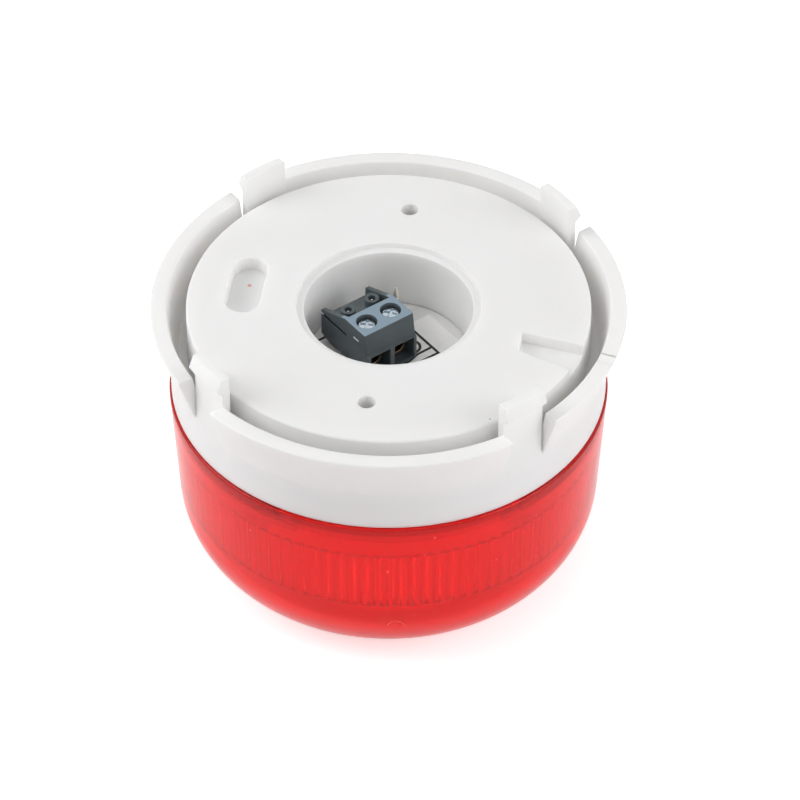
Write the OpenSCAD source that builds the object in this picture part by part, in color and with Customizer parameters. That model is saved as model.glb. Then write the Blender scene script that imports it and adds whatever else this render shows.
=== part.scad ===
// Flashing warning beacon: a white round base that snaps into a mounting plate,
// a red fluted lens held by a quarter-turn fitting, and a screw terminal in a recess.
// Millimetres. Z is up. The lens's flat crown stands at Z = 0 and the base's back face is on top.
// The two fixing holes lie along Y, and depths below the back face are written with level().

/* [Base] */
// Outer diameter of the skirt, the plain wall above the lens
skirt_d = 75.8; // [72:0.2:84]
// Height of the base, from the skirt's foot to the back face
base_h = 17.2; // [16.4:0.2:24]
// Thickness of the skirt's wall and of the hooks
skirt_wall = 1.4; // [1.2:0.1:1.8]
// Diameter of the raised disc on the back
disc_d = 69.8; // [66:0.2:70.6]
// Thickness of the disc
plate_t = 2.6; // [2.2:0.1:3.2]
// Rounding of the disc's edge
disc_round = 0.5; // [0.2:0.1:1]
// Inner diameter of the chamber that holds the circuit board
chamber_d = 64.4; // [63:0.2:65]

/* [Flared rim] */
// How far the rim's top edge stands out past the skirt
rim_flare = 3.2; // [2:0.1:4]
// Width of the rim's flat top
rim_land = 2.9; // [2:0.1:3.4]
// Height of the flare
flare_h = 10; // [9.4:0.2:12]
// Depth of the channel between the disc and the rim
channel_depth = 9; // [6:0.2:9]
// Thickness of the channel's floor
channel_floor = 2; // [1.4:0.1:3]
// Chamfer of the rim's top edges
rim_chamfer = 0.25; // [0.15:0.05:0.3]
// Width of each gap in the rim
gap_w = 9; // [8.8:0.2:12]
// Width of the shallow groove across the rim's top
rim_groove_w = 2; // [1:0.2:3]
// Depth of the shallow groove across the rim's top
rim_groove_depth = 0.35; // [0.35:0.05:0.6]

/* [Snap hooks] */
// Number of snap hooks
hook_n = 4; // [3:1:4]
// Width of a hook
hook_w = 8.4; // [6:0.2:8.6]
// Height of a hook above the back face
hook_h = 5.4; // [4.4:0.2:8]
// How far a hook's barb stands out
barb_out = 1.2; // [0.6:0.1:2]
// Height of the barb's tip above the back face
barb_tip_h = 3; // [2.6:0.1:3.6]
// Drop of the barb's underside from its tip to the hook
barb_drop = 1; // [0.4:0.1:1.4]

/* [Back face] */
// Distance between the two fixing holes
fixing_pitch = 50.8; // [48:0.2:54]
// Diameter of a fixing hole
fixing_d = 3; // [2.4:0.1:4]
// Depth of a fixing hole
fixing_depth = 9; // [6:0.2:9]
// Wall of the boss round a fixing hole
fixing_wall = 2; // [1.5:0.1:2.6]
// Diameter of the terminal recess
recess_d = 29.2; // [28.6:0.2:31]
// Diameter of the terminal recess at its foot
recess_foot_d = 28.2; // [27.8:0.2:30]
// Wall of the tube round the terminal recess
recess_wall = 2; // [1.5:0.1:2.4]
// Width of the step round the recess's mouth
recess_lip = 1.3; // [0.6:0.1:1.6]
// Depth of the step round the recess's mouth
recess_step = 1; // [0.4:0.1:1.6]
// Length of the blind slot
slot_l = 14.4; // [10:0.2:18]
// Width of the blind slot
slot_w = 6.1; // [4:0.1:7]
// Depth of the blind slot
slot_depth = 2.8; // [1.5:0.1:4]
// Distance of the blind slot's middle from the axis
slot_r = 25.1; // [23.6:0.1:26]
// Shift of the blind slot along its length
slot_shift = 1.3; // [-2:0.1:3]
// Inner edge of the notch in the disc, from the axis
notch_r = 23.65; // [21:0.05:27]
// Angle of the notch's middle
notch_angle = -15; // [-24:1:-12]
// Angle that the notch spans
notch_span = 10.4; // [6:0.2:12]
// Depth of the notch
notch_depth = 2.3; // [1:0.1:3]
// Wall left under the slot and the notch
pocket_floor = 1.5; // [1:0.1:2]

/* [Lens] */
// Height of the lens, from its crown to its open edge
lens_h = 36.6; // [34:0.2:50]
// How far the lens's open edge stands out past the skirt
lens_overhang = 0.4; // [0.2:0.1:1]
// Lean of the lens's side from upright, in degrees
lens_draft = 3.3; // [1:0.1:4]
// Radius where the lens's side turns into its flat crown
lens_corner_r = 16; // [12:0.5:18]
// Thickness of the crown and of the rounded corner
lens_wall = 2.3; // [1.8:0.1:2.8]
// Thickness of the lens's wall at its open edge
lens_edge_wall = 2.4; // [2:0.1:2.6]
// Number of flutes inside the lens
flute_n = 100; // [80:2:110]
// Depth of the grooves between flutes
flute_depth = 0.6; // [0.4:0.05:0.6]
// Height of the fluted band
flute_h = 12.4; // [8:0.2:13]
// Share of a flute's pitch that its flat crest takes
flute_crest = 0.5; // [0.3:0.05:0.6]

/* [Quarter-turn fitting and seal] */
// Number of lugs on the lens and on the base
lug_n = 3; // [2:1:3]
// Height of a lug
lug_h = 1.4; // [1.2:0.1:2]
// Angle that a base lug spans
base_lug_span = 61; // [48:1:61]
// How much less a lens lug spans than a base lug, in degrees
lug_lead = 10; // [10:1:16]
// Angle of the first lug's middle
lug_angle = -18; // [-40:1:20]
// Angle that a stop spans
stop_span = 3; // [2:0.5:3.5]
// Thickness of the seal ring
seal_d = 2; // [1.6:0.1:2.2]
// Depth of the seal's groove in the spigot
seal_groove = 0.7; // [0.4:0.1:1]

/* [Circuit board] */
// Depth of the board's upper face below the back face
board_depth = 12.2; // [12:0.1:13]
// Thickness of the board
board_t = 1.6; // [1.2:0.2:2]
// Number of board posts
post_n = 4; // [3:1:4]
// Distance of the board posts from the axis
post_r = 27; // [26:0.1:28]
// Diameter of a board post
post_d = 6.4; // [5.4:0.2:7]
// Diameter of a board screw's thread
board_screw_d = 2.6; // [2.2:0.1:3]
// Length of a board screw under its head
board_screw_l = 8; // [6:0.5:9]
// Diameter of a board screw's head
board_screw_head_d = 5.2; // [4.4:0.2:5.8]
// Height of a board screw's head
board_screw_head_h = 1.9; // [1.4:0.1:2.4]
// Number of light-emitting diodes
led_n = 12; // [6:2:12]
// Distance of the light-emitting diodes from the axis
led_r = 23; // [20:0.5:24]
// Side of a light-emitting diode's package
led_side = 5; // [3.5:0.1:5.4]
// Height of a light-emitting diode's package
led_h = 1.5; // [1:0.1:2]
// Diameter of a diode package's light window
led_window_d = 3.8; // [2:0.1:4]
// Diameter of the smoothing capacitor
capacitor_d = 8; // [6:0.2:8.4]
// Height of the smoothing capacitor
capacitor_h = 7.4; // [5:0.2:7.6]
// Side of the power inductor
inductor_side = 8; // [6:0.2:9]
// Height of the power inductor
inductor_h = 4; // [3:0.2:5]
// Length of the rectifier
rectifier_l = 8.2; // [6:0.1:9]
// Width of the rectifier
rectifier_w = 6.4; // [5:0.1:7]
// Height of the rectifier
rectifier_h = 2.4; // [2:0.1:3]
// Length of the surge suppressor
suppressor_l = 4.4; // [3.6:0.1:5]
// Width of the surge suppressor
suppressor_w = 3.6; // [3:0.1:4]
// Height of the surge suppressor
suppressor_h = 2.2; // [1.8:0.1:2.6]
// Length of a chip
chip_l = 4.9; // [4.4:0.1:5.4]
// Width of a chip
chip_w = 3.9; // [3.4:0.1:4.4]
// Height of a chip
chip_h = 1.6; // [1.2:0.1:2]
// Number of leads on each side of a chip
chip_leads = 4; // [2:1:4]
// Number of chip resistors
resistor_n = 6; // [2:1:7]
// Diameter of the test post
test_post_d = 1.2; // [0.8:0.1:1.6]
// Height of the test post above the board
test_post_h = 6.1; // [3:0.1:8]

/* [Terminal block] */
// Distance between the two terminal screws
terminal_pitch = 5.08; // [5:0.02:5.2]
// Width of the block, along its row of screws
terminal_w = 10.4; // [10.2:0.1:10.8]
// Height of the block's top above the board
terminal_h = 10.2; // [10:0.1:11]
// Height of the gap under the block
terminal_foot_h = 0.9; // [0.5:0.1:1]
// Distance from the screws to the front of the block's flat top
terminal_front = 3; // [2.6:0.1:3.2]
// Length of the flat top behind the screws
terminal_flat = 2.8; // [2.4:0.1:3]
// Length of the sloping tail behind the flat top
terminal_tail = 7; // [6:0.1:7.2]
// Slope of the tail, in degrees
terminal_slope = 21.5; // [15:0.5:24]
// Thickness of the block's end walls
terminal_end_wall = 0.9; // [0.6:0.1:1.1]
// Depth of the tail's trough below the end walls
trough_depth = 1.6; // [0.8:0.1:1.8]
// Height of the end walls' lower edge above the board, behind the ports
end_wall_foot = 1.95; // [1.2:0.05:2.4]
// Height of the slanted band above the wire ports
band_h = 4.4; // [4:0.1:4.6]
// How far the band's foot leans out
band_lean = 0.6; // [0.2:0.1:0.9]
// How far the frame round the wire ports stands out past the band's foot
port_lip = 0.5; // [0.2:0.1:0.8]
// Width of a wire port
port_w = 4.1; // [3.8:0.1:4.2]
// Diameter of a screw well
well_d = 3.6; // [3.4:0.1:3.8]
// Depth of a screw well
well_depth = 2.2; // [2:0.1:2.4]
// Diameter of a terminal screw's head
terminal_head_d = 3.1; // [2.8:0.1:3.2]
// Height of a terminal screw's head
terminal_head_h = 1.5; // [1.2:0.1:1.8]
// Diameter of a terminal screw's thread
terminal_thread_d = 2.4; // [2:0.1:2.5]
// Share of the clamp's room that a cage rises through
lift_share = 0.3; // [0.2:0.01:0.3]
// Length of a clamp cage, front to back
cage_l = 4; // [3.4:0.1:4.2]
// Thickness of a clamp cage's wall
cage_wall = 0.6; // [0.4:0.05:0.7]
// Inner radius of the bends at a clamp cage's foot
cage_bend = 1; // [0.4:0.1:1.1]
// Thickness of a current bar
bar_t = 0.5; // [0.4:0.05:0.6]
// Width of a current bar
bar_w = 1.9; // [1.4:0.1:2]
// Diameter of a test socket on the tail
socket_d = 2.6; // [2:0.1:3]
// Bore of a test socket
socket_bore = 1.3; // [0.8:0.1:1.6]

/* [Clearances] */
// Gap between the lens's open edge and the skirt's foot
joint_gap = 0.2; // [0.1:0.05:0.4]
// Gap between the turning lens and the base
turn_gap = 0.4; // [0.3:0.05:0.5]
// Gap below the spigot's end, inside the lens
spigot_end_gap = 2.1; // [0.6:0.1:3]
// Gap round the board's edge
board_gap = 0.4; // [0.2:0.1:1]
// Gap round a board screw in the board, and round its head
screw_play = 0.2; // [0.1:0.05:0.4]
// Gap round a pin, bar or thread that does not turn
seat_gap = 0.08; // [0.05:0.01:0.1]
// Running clearance of a turning screw in its hole
run_gap = 0.06; // [0.02:0.01:0.1]
// Gap on each side of a clamp cage
cage_gap = 0.2; // [0.1:0.05:0.25]

/* [Hidden] */

$fn = 128;
over = 1; // how far a cut runs past the face that it opens
bite = 0.4; // how far a part of one moulding sinks into the next

// Levels: the back face is the reference, and level(b) lies b below it
skirt_z = lens_h + joint_gap;
back_z = skirt_z + base_h;
function level(b) = back_z - b;
board_z = level(board_depth);
board_under_z = board_z - board_t;

// Radii of the base, from outside to inside
skirt_r = skirt_d / 2;
rim_r = skirt_r + rim_flare;
rim_in_r = rim_r - rim_land;
hook_in_r = skirt_r - skirt_wall;
channel_foot_r = hook_in_r - 0.15;
disc_r = disc_d / 2;
chamber_r = chamber_d / 2;
recess_r = recess_d / 2;
recess_foot_r = recess_foot_d / 2;
tube_r = recess_r + recess_wall;
tube_gap = 0.1;
tube_depth = board_depth - tube_gap;

// Quarter-turn fitting, stacked down the spigot from the skirt's foot
lens_r = skirt_r + lens_overhang;
lens_socket_r = lens_r - lens_edge_wall;
lug_out_r = lens_socket_r - turn_gap;
lug_reach = 1.3;
spigot_r = lug_out_r - lug_reach;
lug_in_r = spigot_r + turn_gap;
groove_side = 0.1;
seal_gap = 0.05;
groove_top = 0.2;
groove_h = seal_d + 2 * groove_side;
lug_gap = 0.3;
lens_lug_top = groove_top + groove_h + turn_gap;
base_lug_top = lens_lug_top + lug_h + lug_gap;
spigot_h = base_lug_top + lug_h + lug_gap;
lens_lug_span = base_lug_span - lug_lead;
stop_play = 0.5;
stop_from = lens_lug_span / 2 + stop_play;

// Rings of the moulding between the spigot and the skirt
core_in_r = spigot_r + 0.8;

// Lens
lens_step_z = skirt_z - spigot_h - spigot_end_gap;
flute_z = lens_step_z - flute_h;
corner_c = lens_r - (lens_h - lens_corner_r * (1 - sin(lens_draft))) * tan(lens_draft)
    - lens_corner_r * cos(lens_draft);
function wall_r(z) = lens_r - (lens_h - z) * tan(lens_draft);
flute_ledge = 0.2;
crest_r = wall_r(flute_z) - lens_wall / cos(lens_draft) + flute_ledge;
groove_r = crest_r + flute_depth;

// Board
board_r = chamber_r - board_gap;
post_angles = [for (i = [0 : post_n - 1]) 45 + i * 360 / post_n];
hook_angles = [for (i = [0 : hook_n - 1]) 45 + i * 360 / hook_n];

// Terminal block, in its own frame: X along the row of screws, front at -Y, Z up from the board
terminal_angle = 45;
terminal_place = [-1.58, -1.16];
way_x = [-terminal_pitch / 2, terminal_pitch / 2];
tail_end = terminal_flat + terminal_tail;
tail_end_h = terminal_h - terminal_tail * tan(terminal_slope);
band_foot_h = terminal_h - band_h;
band_front = terminal_front + band_lean;
port_front = band_front + port_lip;
seat_h = terminal_h - well_depth;
seat_t = 0.7;
cavity_top = seat_h - seat_t;
cavity_foot = 1.2;
cavity_back = cage_l / 2 + cage_gap;
port_top = band_foot_h - 0.2;
cage_w = port_w - 2 * cage_gap;
cage_foot = cavity_foot + cage_gap;
cage_room = cavity_top - cage_gap / 2 - cage_foot;
cage_lift = lift_share * cage_room;
cage_h = cage_room - cage_lift;
bar_top = cage_foot + cage_h - cage_wall - cage_gap;
thread_foot = bar_top + cage_gap;
leg_w = 1;
leg_y = cavity_back + 0.2;
leg_t = 0.6;
leg_end = 1.3;

// A ring of rectangular section, from one angle to another
module arc_block(r_in, r_out, z_low, z_high, from, to) {
    rotate([0, 0, from])
        rotate_extrude(angle = to - from)
            translate([r_in, z_low])
                square([r_out - r_in, z_high - z_low]);
}

// Points of an arc, for the rounded edges of a section
function arc(cx, cy, r, from, to, steps = 6) =
    [for (i = [0 : steps]) let (a = from + (to - from) * i / steps) [cx + r * cos(a), cy + r * sin(a)]];

// A pocket with round ends, along Y
module long_pocket(length, width, depth) {
    straight = length - width;
    for (end = [-1, 1])
        translate([0, end * straight / 2, 0])
            cylinder(d = width, h = depth);
    translate([-width / 2, -straight / 2, 0])
        cube([width, straight, depth]);
}

// Half-section of the base, about Z
module base_section() {
    polygon(concat(
        [
            [recess_r, level(recess_step)],
            [recess_r + recess_lip, level(recess_step)],
            [recess_r + recess_lip, level(0)]
        ],
        arc(disc_r - disc_round, level(disc_round), disc_round, 90, 0),
        [
            [disc_r, level(channel_depth)],
            [channel_foot_r, level(channel_depth)],
            [rim_in_r, level(rim_chamfer)],
            [rim_in_r + rim_chamfer, level(0)],
            [rim_r - rim_chamfer, level(0)],
            [rim_r, level(rim_chamfer)],
            [skirt_r, level(flare_h)],
            [skirt_r, skirt_z],
            [hook_in_r, skirt_z],
            [hook_in_r, level(channel_depth + channel_floor)],
            [core_in_r, level(channel_depth + channel_floor)],
            [core_in_r, skirt_z],
            [spigot_r, skirt_z],
            [spigot_r, skirt_z - groove_top],
            [spigot_r - seal_groove, skirt_z - groove_top],
            [spigot_r - seal_groove, skirt_z - groove_top - groove_h],
            [spigot_r, skirt_z - groove_top - groove_h],
            [spigot_r, skirt_z - spigot_h],
            [chamber_r, skirt_z - spigot_h],
            [chamber_r, level(plate_t)],
            [tube_r, level(plate_t)],
            [tube_r, level(tube_depth)],
            [recess_foot_r, level(tube_depth)]
        ]
    ));
}

// One snap hook: a strip of the skirt's wall that rises through the rim's gap and ends in a barb
module snap_hook() {
    intersection() {
        rotate_extrude()
            polygon([
                [hook_in_r, level(channel_depth + bite)],
                [skirt_r, level(channel_depth + bite)],
                [skirt_r, level(-barb_tip_h + barb_drop)],
                [skirt_r + barb_out, level(-barb_tip_h)],
                [skirt_r + rim_chamfer, level(-hook_h)],
                [hook_in_r, level(-hook_h)]
            ]);
        translate([0, -hook_w / 2, 0])
            cube([rim_r + over, hook_w, back_z + 2 * hook_h]);
    }
}

// The notch's outline, a sector with a straight inner edge, drawn past the disc's edge
module notch_outline(grow = 0) {
    far = disc_r + grow;
    low = notch_angle - notch_span / 2;
    high = notch_angle + notch_span / 2;
    polygon([
        [notch_r - grow, (notch_r - grow) * tan(high) + grow],
        [notch_r - grow, (notch_r - grow) * tan(low) - grow],
        [far * cos(low), far * sin(low) - grow],
        [far * cos(notch_angle) + over, far * sin(notch_angle)],
        [far * cos(high), far * sin(high) + grow]
    ]);
}

module base_housing() {
    color("whitesmoke")
    difference() {
        union() {
            difference() {
                rotate_extrude() base_section();
                for (a = hook_angles)
                    rotate([0, 0, a]) {
                        translate([disc_r + bite, -gap_w / 2, level(channel_depth)])
                            cube([rim_r, gap_w, channel_depth + over]);
                        difference() {
                            translate([disc_r, -gap_w / 2, level(flare_h)])
                                cube([rim_r - disc_r + over, gap_w, flare_h]);
                            cylinder(r = skirt_r, h = back_z);
                        }
                    }
            }
            for (a = hook_angles)
                rotate([0, 0, a]) snap_hook();
            // Bosses behind the fixing holes, the blind slot and the notch
            for (side = [-1, 1])
                translate([0, side * fixing_pitch / 2, level(fixing_depth + pocket_floor)])
                    cylinder(d = fixing_d + 2 * fixing_wall, h = fixing_depth + pocket_floor - plate_t + bite);
            translate([-slot_r, slot_shift, level(slot_depth + pocket_floor)])
                long_pocket(slot_l + 2 * pocket_floor, slot_w + 2 * pocket_floor,
                    slot_depth + pocket_floor - bite);
            intersection() {
                translate([0, 0, level(notch_depth + pocket_floor)])
                    linear_extrude(notch_depth + pocket_floor - bite) notch_outline(pocket_floor);
                cylinder(r = disc_r - bite, h = back_z);
            }
            for (a = post_angles)
                rotate([0, 0, a]) translate([post_r, 0, board_z])
                    cylinder(d = post_d, h = board_depth - plate_t + bite);
            // Lugs of the quarter-turn fitting, each with a stop at its locked end
            for (i = [0 : lug_n - 1]) {
                middle = lug_angle + i * 360 / lug_n;
                arc_block(spigot_r - bite, lug_out_r, skirt_z - base_lug_top - lug_h, skirt_z - base_lug_top,
                    middle - base_lug_span / 2, middle + base_lug_span / 2);
                arc_block(spigot_r - bite / 2, lug_out_r - stop_play / 2,
                    skirt_z - base_lug_top - bite, skirt_z - lens_lug_top,
                    middle + stop_from, middle + stop_from + stop_span);
            }
        }
        // Fixing holes, blind slot, notch, rim groove and the board screws' pilot holes
        for (side = [-1, 1])
            translate([0, side * fixing_pitch / 2, level(fixing_depth)])
                cylinder(d = fixing_d, h = fixing_depth + over);
        translate([-slot_r, slot_shift, level(slot_depth)])
            long_pocket(slot_l, slot_w, slot_depth + over);
        translate([0, 0, level(notch_depth)])
            linear_extrude(notch_depth + over) notch_outline();
        rotate([0, 0, notch_angle + notch_span / 4])
            translate([disc_r + over, -rim_groove_w / 2, level(rim_groove_depth)])
                cube([rim_r, rim_groove_w, rim_groove_depth + over]);
        for (a = post_angles)
            rotate([0, 0, a]) translate([post_r, 0, 0]) {
                translate([0, 0, board_z - over])
                    cylinder(d = board_screw_d + 2 * seat_gap, h = board_screw_l + over);
                // Way in for the screw's head, where it stands near the chamber's wall
                cylinder(d = board_screw_head_d + 2 * screw_play, h = board_under_z);
            }
    }
}

// Lens profile: a flat crown, a rounded corner and a leaning side, set in by an even wall
module lens_profile(wall, top) {
    r = lens_corner_r - wall;
    side_r = wall_r(top) - wall / cos(lens_draft);
    intersection() {
        translate([corner_c, lens_corner_r]) circle(r = r);
        translate([corner_c, 0]) square(lens_corner_r);
    }
    polygon([
        [0, wall],
        [corner_c, wall],
        [corner_c, lens_corner_r],
        [corner_c + r * cos(lens_draft), lens_corner_r - r * sin(lens_draft)],
        [side_r, top],
        [0, top]
    ]);
}

// Outline of the fluted bore: flat crests with grooves between them, cut into the wall
module flute_outline() {
    step = 360 / flute_n;
    crest = step * flute_crest;
    groove = step * (1 - flute_crest) / 2;
    polygon([
        for (i = [0 : flute_n - 1])
            for (p = [[crest_r, -crest / 2], [crest_r, crest / 2],
                      [groove_r, step / 2 - groove / 2], [groove_r, step / 2 + groove / 2]])
                [p[0] * cos(i * step + p[1]), p[0] * sin(i * step + p[1])]
    ]);
}

module lens() {
    color("red")
    difference() {
        rotate_extrude() lens_profile(0, lens_h);
        difference() {
            translate([0, 0, lens_step_z])
                cylinder(r = lens_socket_r, h = lens_h - lens_step_z + over);
            for (i = [0 : lug_n - 1]) {
                middle = lug_angle + i * 360 / lug_n;
                arc_block(lug_in_r, lens_r, skirt_z - lens_lug_top - lug_h, skirt_z - lens_lug_top,
                    middle - lens_lug_span / 2, middle + lens_lug_span / 2);
            }
        }
        translate([0, 0, flute_z - bite])
            linear_extrude(lens_step_z - flute_z + 2 * bite) flute_outline();
        rotate_extrude() lens_profile(lens_wall, flute_z);
    }
}

module lens_seal() {
    color("dimgray")
    translate([0, 0, skirt_z - groove_top - groove_h / 2])
        rotate_extrude()
            translate([spigot_r - seal_groove + seal_gap + seal_d / 2, 0])
                circle(d = seal_d, $fn = 48);
}

// Places on the board: a polar place, and the terminal block's own frame
module on_board(r, angle, z = board_z) {
    rotate([0, 0, angle]) translate([r, 0, z]) children();
}
module at_terminal() {
    translate([terminal_place.x, terminal_place.y, board_z]) rotate([0, 0, terminal_angle]) children();
}

test_post_r = 11.3;
test_post_angle = 92;
board_pin_d = 1.5;

module circuit_board() {
    color("ivory")
    difference() {
        translate([0, 0, board_under_z]) cylinder(r = board_r, h = board_t);
        for (a = post_angles)
            on_board(post_r, a, board_under_z - over)
                cylinder(d = board_screw_d + 2 * screw_play, h = board_t + 2 * over);
        at_terminal()
            for (x = way_x)
                translate([x, leg_y + leg_t / 2, -board_t - over])
                    cylinder(d = board_pin_d, h = board_t + 2 * over);
        on_board(test_post_r, test_post_angle, board_under_z - over)
            cylinder(d = test_post_d + 2 * seat_gap, h = board_t + 2 * over);
    }
}

module board_screws() {
    color("silver")
    for (a = post_angles)
        on_board(post_r, a, board_under_z) {
            difference() {
                translate([0, 0, -board_screw_head_h])
                    cylinder(d1 = board_screw_head_d * 0.8, d2 = board_screw_head_d, h = board_screw_head_h);
                for (turn = [0, 90])
                    rotate([0, 0, turn])
                        translate([-board_screw_head_d / 4, -0.35, -board_screw_head_h - over])
                            cube([board_screw_head_d / 2, 0.7, over + board_screw_head_h / 2]);
            }
            cylinder(d = board_screw_d, h = board_screw_l - seat_gap);
        }
}

module leds() {
    color("lightyellow")
    for (i = [0 : led_n - 1])
        on_board(led_r, i * 360 / led_n, board_under_z - led_h)
            difference() {
                translate([-led_side / 2, -led_side / 2, 0])
                    cube([led_side, led_side, led_h]);
                translate([0, 0, -over])
                    cylinder(d1 = led_window_d + over, d2 = led_window_d - led_h / 4, h = led_h / 2 + over);
            }
}

capacitor_r = 24;
capacitor_angle = 22;
capacitor_base_h = 1;

// A can on a square plastic base, with a groove rolled round its foot
module smoothing_capacitor() {
    color("darkgray")
    on_board(capacitor_r, capacitor_angle) {
        translate([-capacitor_d / 2, -capacitor_d / 2, 0])
            cube([capacitor_d, capacitor_d, capacitor_base_h]);
        rotate_extrude()
            polygon([
                [0, capacitor_base_h - bite],
                [capacitor_d / 2, capacitor_base_h - bite],
                [capacitor_d / 2, capacitor_h * 0.28],
                [capacitor_d / 2 - bite, capacitor_h * 0.33],
                [capacitor_d / 2, capacitor_h * 0.38],
                [capacitor_d / 2, capacitor_h - bite],
                [capacitor_d / 2 - bite, capacitor_h],
                [0, capacitor_h]
            ]);
    }
}

inductor_r = 24;
inductor_angle = 200;

// A square shielded inductor, its winding under a round cap
module power_inductor() {
    color("slategray")
    on_board(inductor_r, inductor_angle) {
        translate([-inductor_side / 2, -inductor_side / 2, 0])
            cube([inductor_side, inductor_side, inductor_h * 0.8]);
        cylinder(d = inductor_side * 0.9, h = inductor_h);
    }
}

// A flat package with a row of bent leads on two sides, hung under the board or standing on it
module lead_package(length, width, height, leads, pitch) {
    lead_w = pitch * 0.35;
    lead_t = 0.2;
    lead_out = 0.9;
    stand = 0.1;
    translate([-length / 2, -width / 2, stand])
        cube([length, width, height - stand]);
    for (side = [-1, 1], i = [0 : leads - 1])
        translate([(i - (leads - 1) / 2) * pitch - lead_w / 2, 0, 0]) {
            translate([0, side > 0 ? width / 2 - bite : -width / 2 - lead_out, 0])
                cube([lead_w, lead_out + bite, lead_t]);
            translate([0, side > 0 ? width / 2 - bite : -width / 2 - lead_t, 0])
                cube([lead_w, lead_t + bite, height / 2]);
        }
}

module under_board(r, angle) {
    on_board(r, angle, board_under_z) mirror([0, 0, 1]) children();
}

package_r = 11;

module rectifier() {
    color("dimgray") under_board(package_r, 140)
        lead_package(rectifier_l, rectifier_w, rectifier_h, 2, rectifier_l * 0.62);
}

module surge_suppressor() {
    color("dimgray") on_board(inductor_r, -20)
        lead_package(suppressor_l, suppressor_w, suppressor_h, 1, suppressor_l);
}

module driver_chip() {
    color("black") under_board(package_r, 40)
        lead_package(chip_l, chip_w, chip_h, chip_leads, chip_l / 3.86);
}

module flash_controller() {
    color("black") under_board(package_r, -50)
        lead_package(chip_l, chip_w, chip_h, chip_leads, chip_l / 3.86);
}

resistor_r = 14;
resistor_l = 2;
resistor_w = 1.25;
resistor_h = 0.5;

module chip_resistors() {
    color("black")
    for (i = [0 : resistor_n - 1])
        under_board(resistor_r, -130 + i * 10)
            translate([-resistor_l / 2, -resistor_w / 2, 0])
                cube([resistor_l, resistor_w, resistor_h]);
}

// A tinned post with a pointed tip, soldered through the board
module test_post() {
    tip = 1.5 * test_post_d;
    color("gainsboro")
    on_board(test_post_r, test_post_angle, board_under_z) {
        cylinder(d = test_post_d, h = board_t + test_post_h - tip);
        translate([0, 0, board_t + test_post_h - tip])
            cylinder(d1 = test_post_d, d2 = test_post_d / 4, h = tip);
    }
}

// A bar of the terminal block along X, from a side outline in Y and Z
module along_row(length) {
    translate([-length / 2, 0, 0])
        rotate([90, 0, 90]) linear_extrude(length) children();
}

module terminal_housing() {
    slit_t = 0.5;
    slit_depth = terminal_end_wall - 0.3;
    slit_fall = 0.7;
    slit_lean = slit_fall / slit_depth;
    slit_h = tail_end_h - 0.9;
    behind_cavity = cavity_back + 0.3;
    undercut = terminal_end_wall / 2;
    trough_front_h = terminal_h - trough_depth;
    foot_d = 1.6;
    rear_foot_l = 2.4;
    color("darkslategray")
    at_terminal()
    difference() {
        union() {
            difference() {
                along_row(terminal_w)
                    polygon([
                        [-port_front, terminal_foot_h],
                        [-port_front, band_foot_h],
                        [-band_front, band_foot_h],
                        [-terminal_front, terminal_h],
                        [terminal_flat, terminal_h],
                        [tail_end, tail_end_h],
                        [tail_end, terminal_foot_h]
                    ]);
                along_row(terminal_w - 2 * terminal_end_wall)
                    polygon([
                        [terminal_flat, trough_front_h],
                        [tail_end + over, tail_end_h - trough_depth - over * tan(terminal_slope)],
                        [tail_end + over, terminal_h + over],
                        [terminal_flat, terminal_h + over]
                    ]);
            }
            for (x = way_x) {
                translate([x, terminal_flat + socket_d, terminal_h / 2])
                    cylinder(d = socket_d, h = terminal_h / 2 - 1);
                translate([x, foot_d / 2 - port_front, 0])
                    cylinder(d = foot_d, h = terminal_foot_h + bite, $fn = 48);
            }
            translate([terminal_end_wall - terminal_w / 2, tail_end - rear_foot_l - terminal_end_wall, 0])
                cube([terminal_w - 2 * terminal_end_wall, rear_foot_l, terminal_foot_h + bite]);
        }
        for (x = way_x) {
            translate([x, 0, seat_h])
                cylinder(d = well_d, h = well_depth + over);
            translate([x, 0, cavity_top - bite])
                cylinder(d = terminal_thread_d + 2 * run_gap, h = seat_t + 2 * bite);
            translate([x - port_w / 2, -cavity_back, cavity_foot])
                cube([port_w, 2 * cavity_back, cavity_top - cavity_foot]);
            translate([x - port_w / 2, -port_front - over, cavity_foot])
                cube([port_w, port_front, port_top - cavity_foot]);
            translate([x - bar_w / 2 - seat_gap, 0, cavity_foot])
                cube([bar_w + 2 * seat_gap, leg_y + leg_t + seat_gap, bar_top + seat_gap - cavity_foot]);
            translate([x - leg_w / 2 - seat_gap, leg_y - seat_gap, -over])
                cube([leg_w + 2 * seat_gap, leg_t + 2 * seat_gap, cavity_foot + 2 * over]);
            translate([x, terminal_flat + socket_d, terminal_h - 1 - socket_d])
                cylinder(d = socket_bore, h = socket_d + over);
        }
        for (end = [0, 1])
            mirror([end, 0, 0]) {
                translate([terminal_w / 2, tail_end + over, slit_h])
                    rotate([90, 0, 0])
                        linear_extrude(tail_end + over - behind_cavity)
                            polygon([
                                [-slit_depth, -slit_fall],
                                [over, over * slit_lean],
                                [over, slit_t + over * slit_lean],
                                [-slit_depth, slit_t - slit_fall]
                            ]);
                translate([terminal_w / 2 - undercut, behind_cavity, -over])
                    cube([undercut + over, tail_end, end_wall_foot + over]);
            }
    }
}

// Two bent strips: each bar runs through its clamp cage and turns down into a solder leg
module terminal_contacts() {
    color("gold")
    at_terminal()
        for (x = way_x) {
            translate([x - bar_w / 2, -cage_l / 2 + cage_gap, bar_top - bar_t])
                cube([bar_w, cage_l / 2 - cage_gap + leg_y + leg_t, bar_t]);
            translate([x - leg_w / 2, leg_y, -board_t - leg_end])
                cube([leg_w, leg_t, board_t + leg_end + bar_top]);
        }
}

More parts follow.
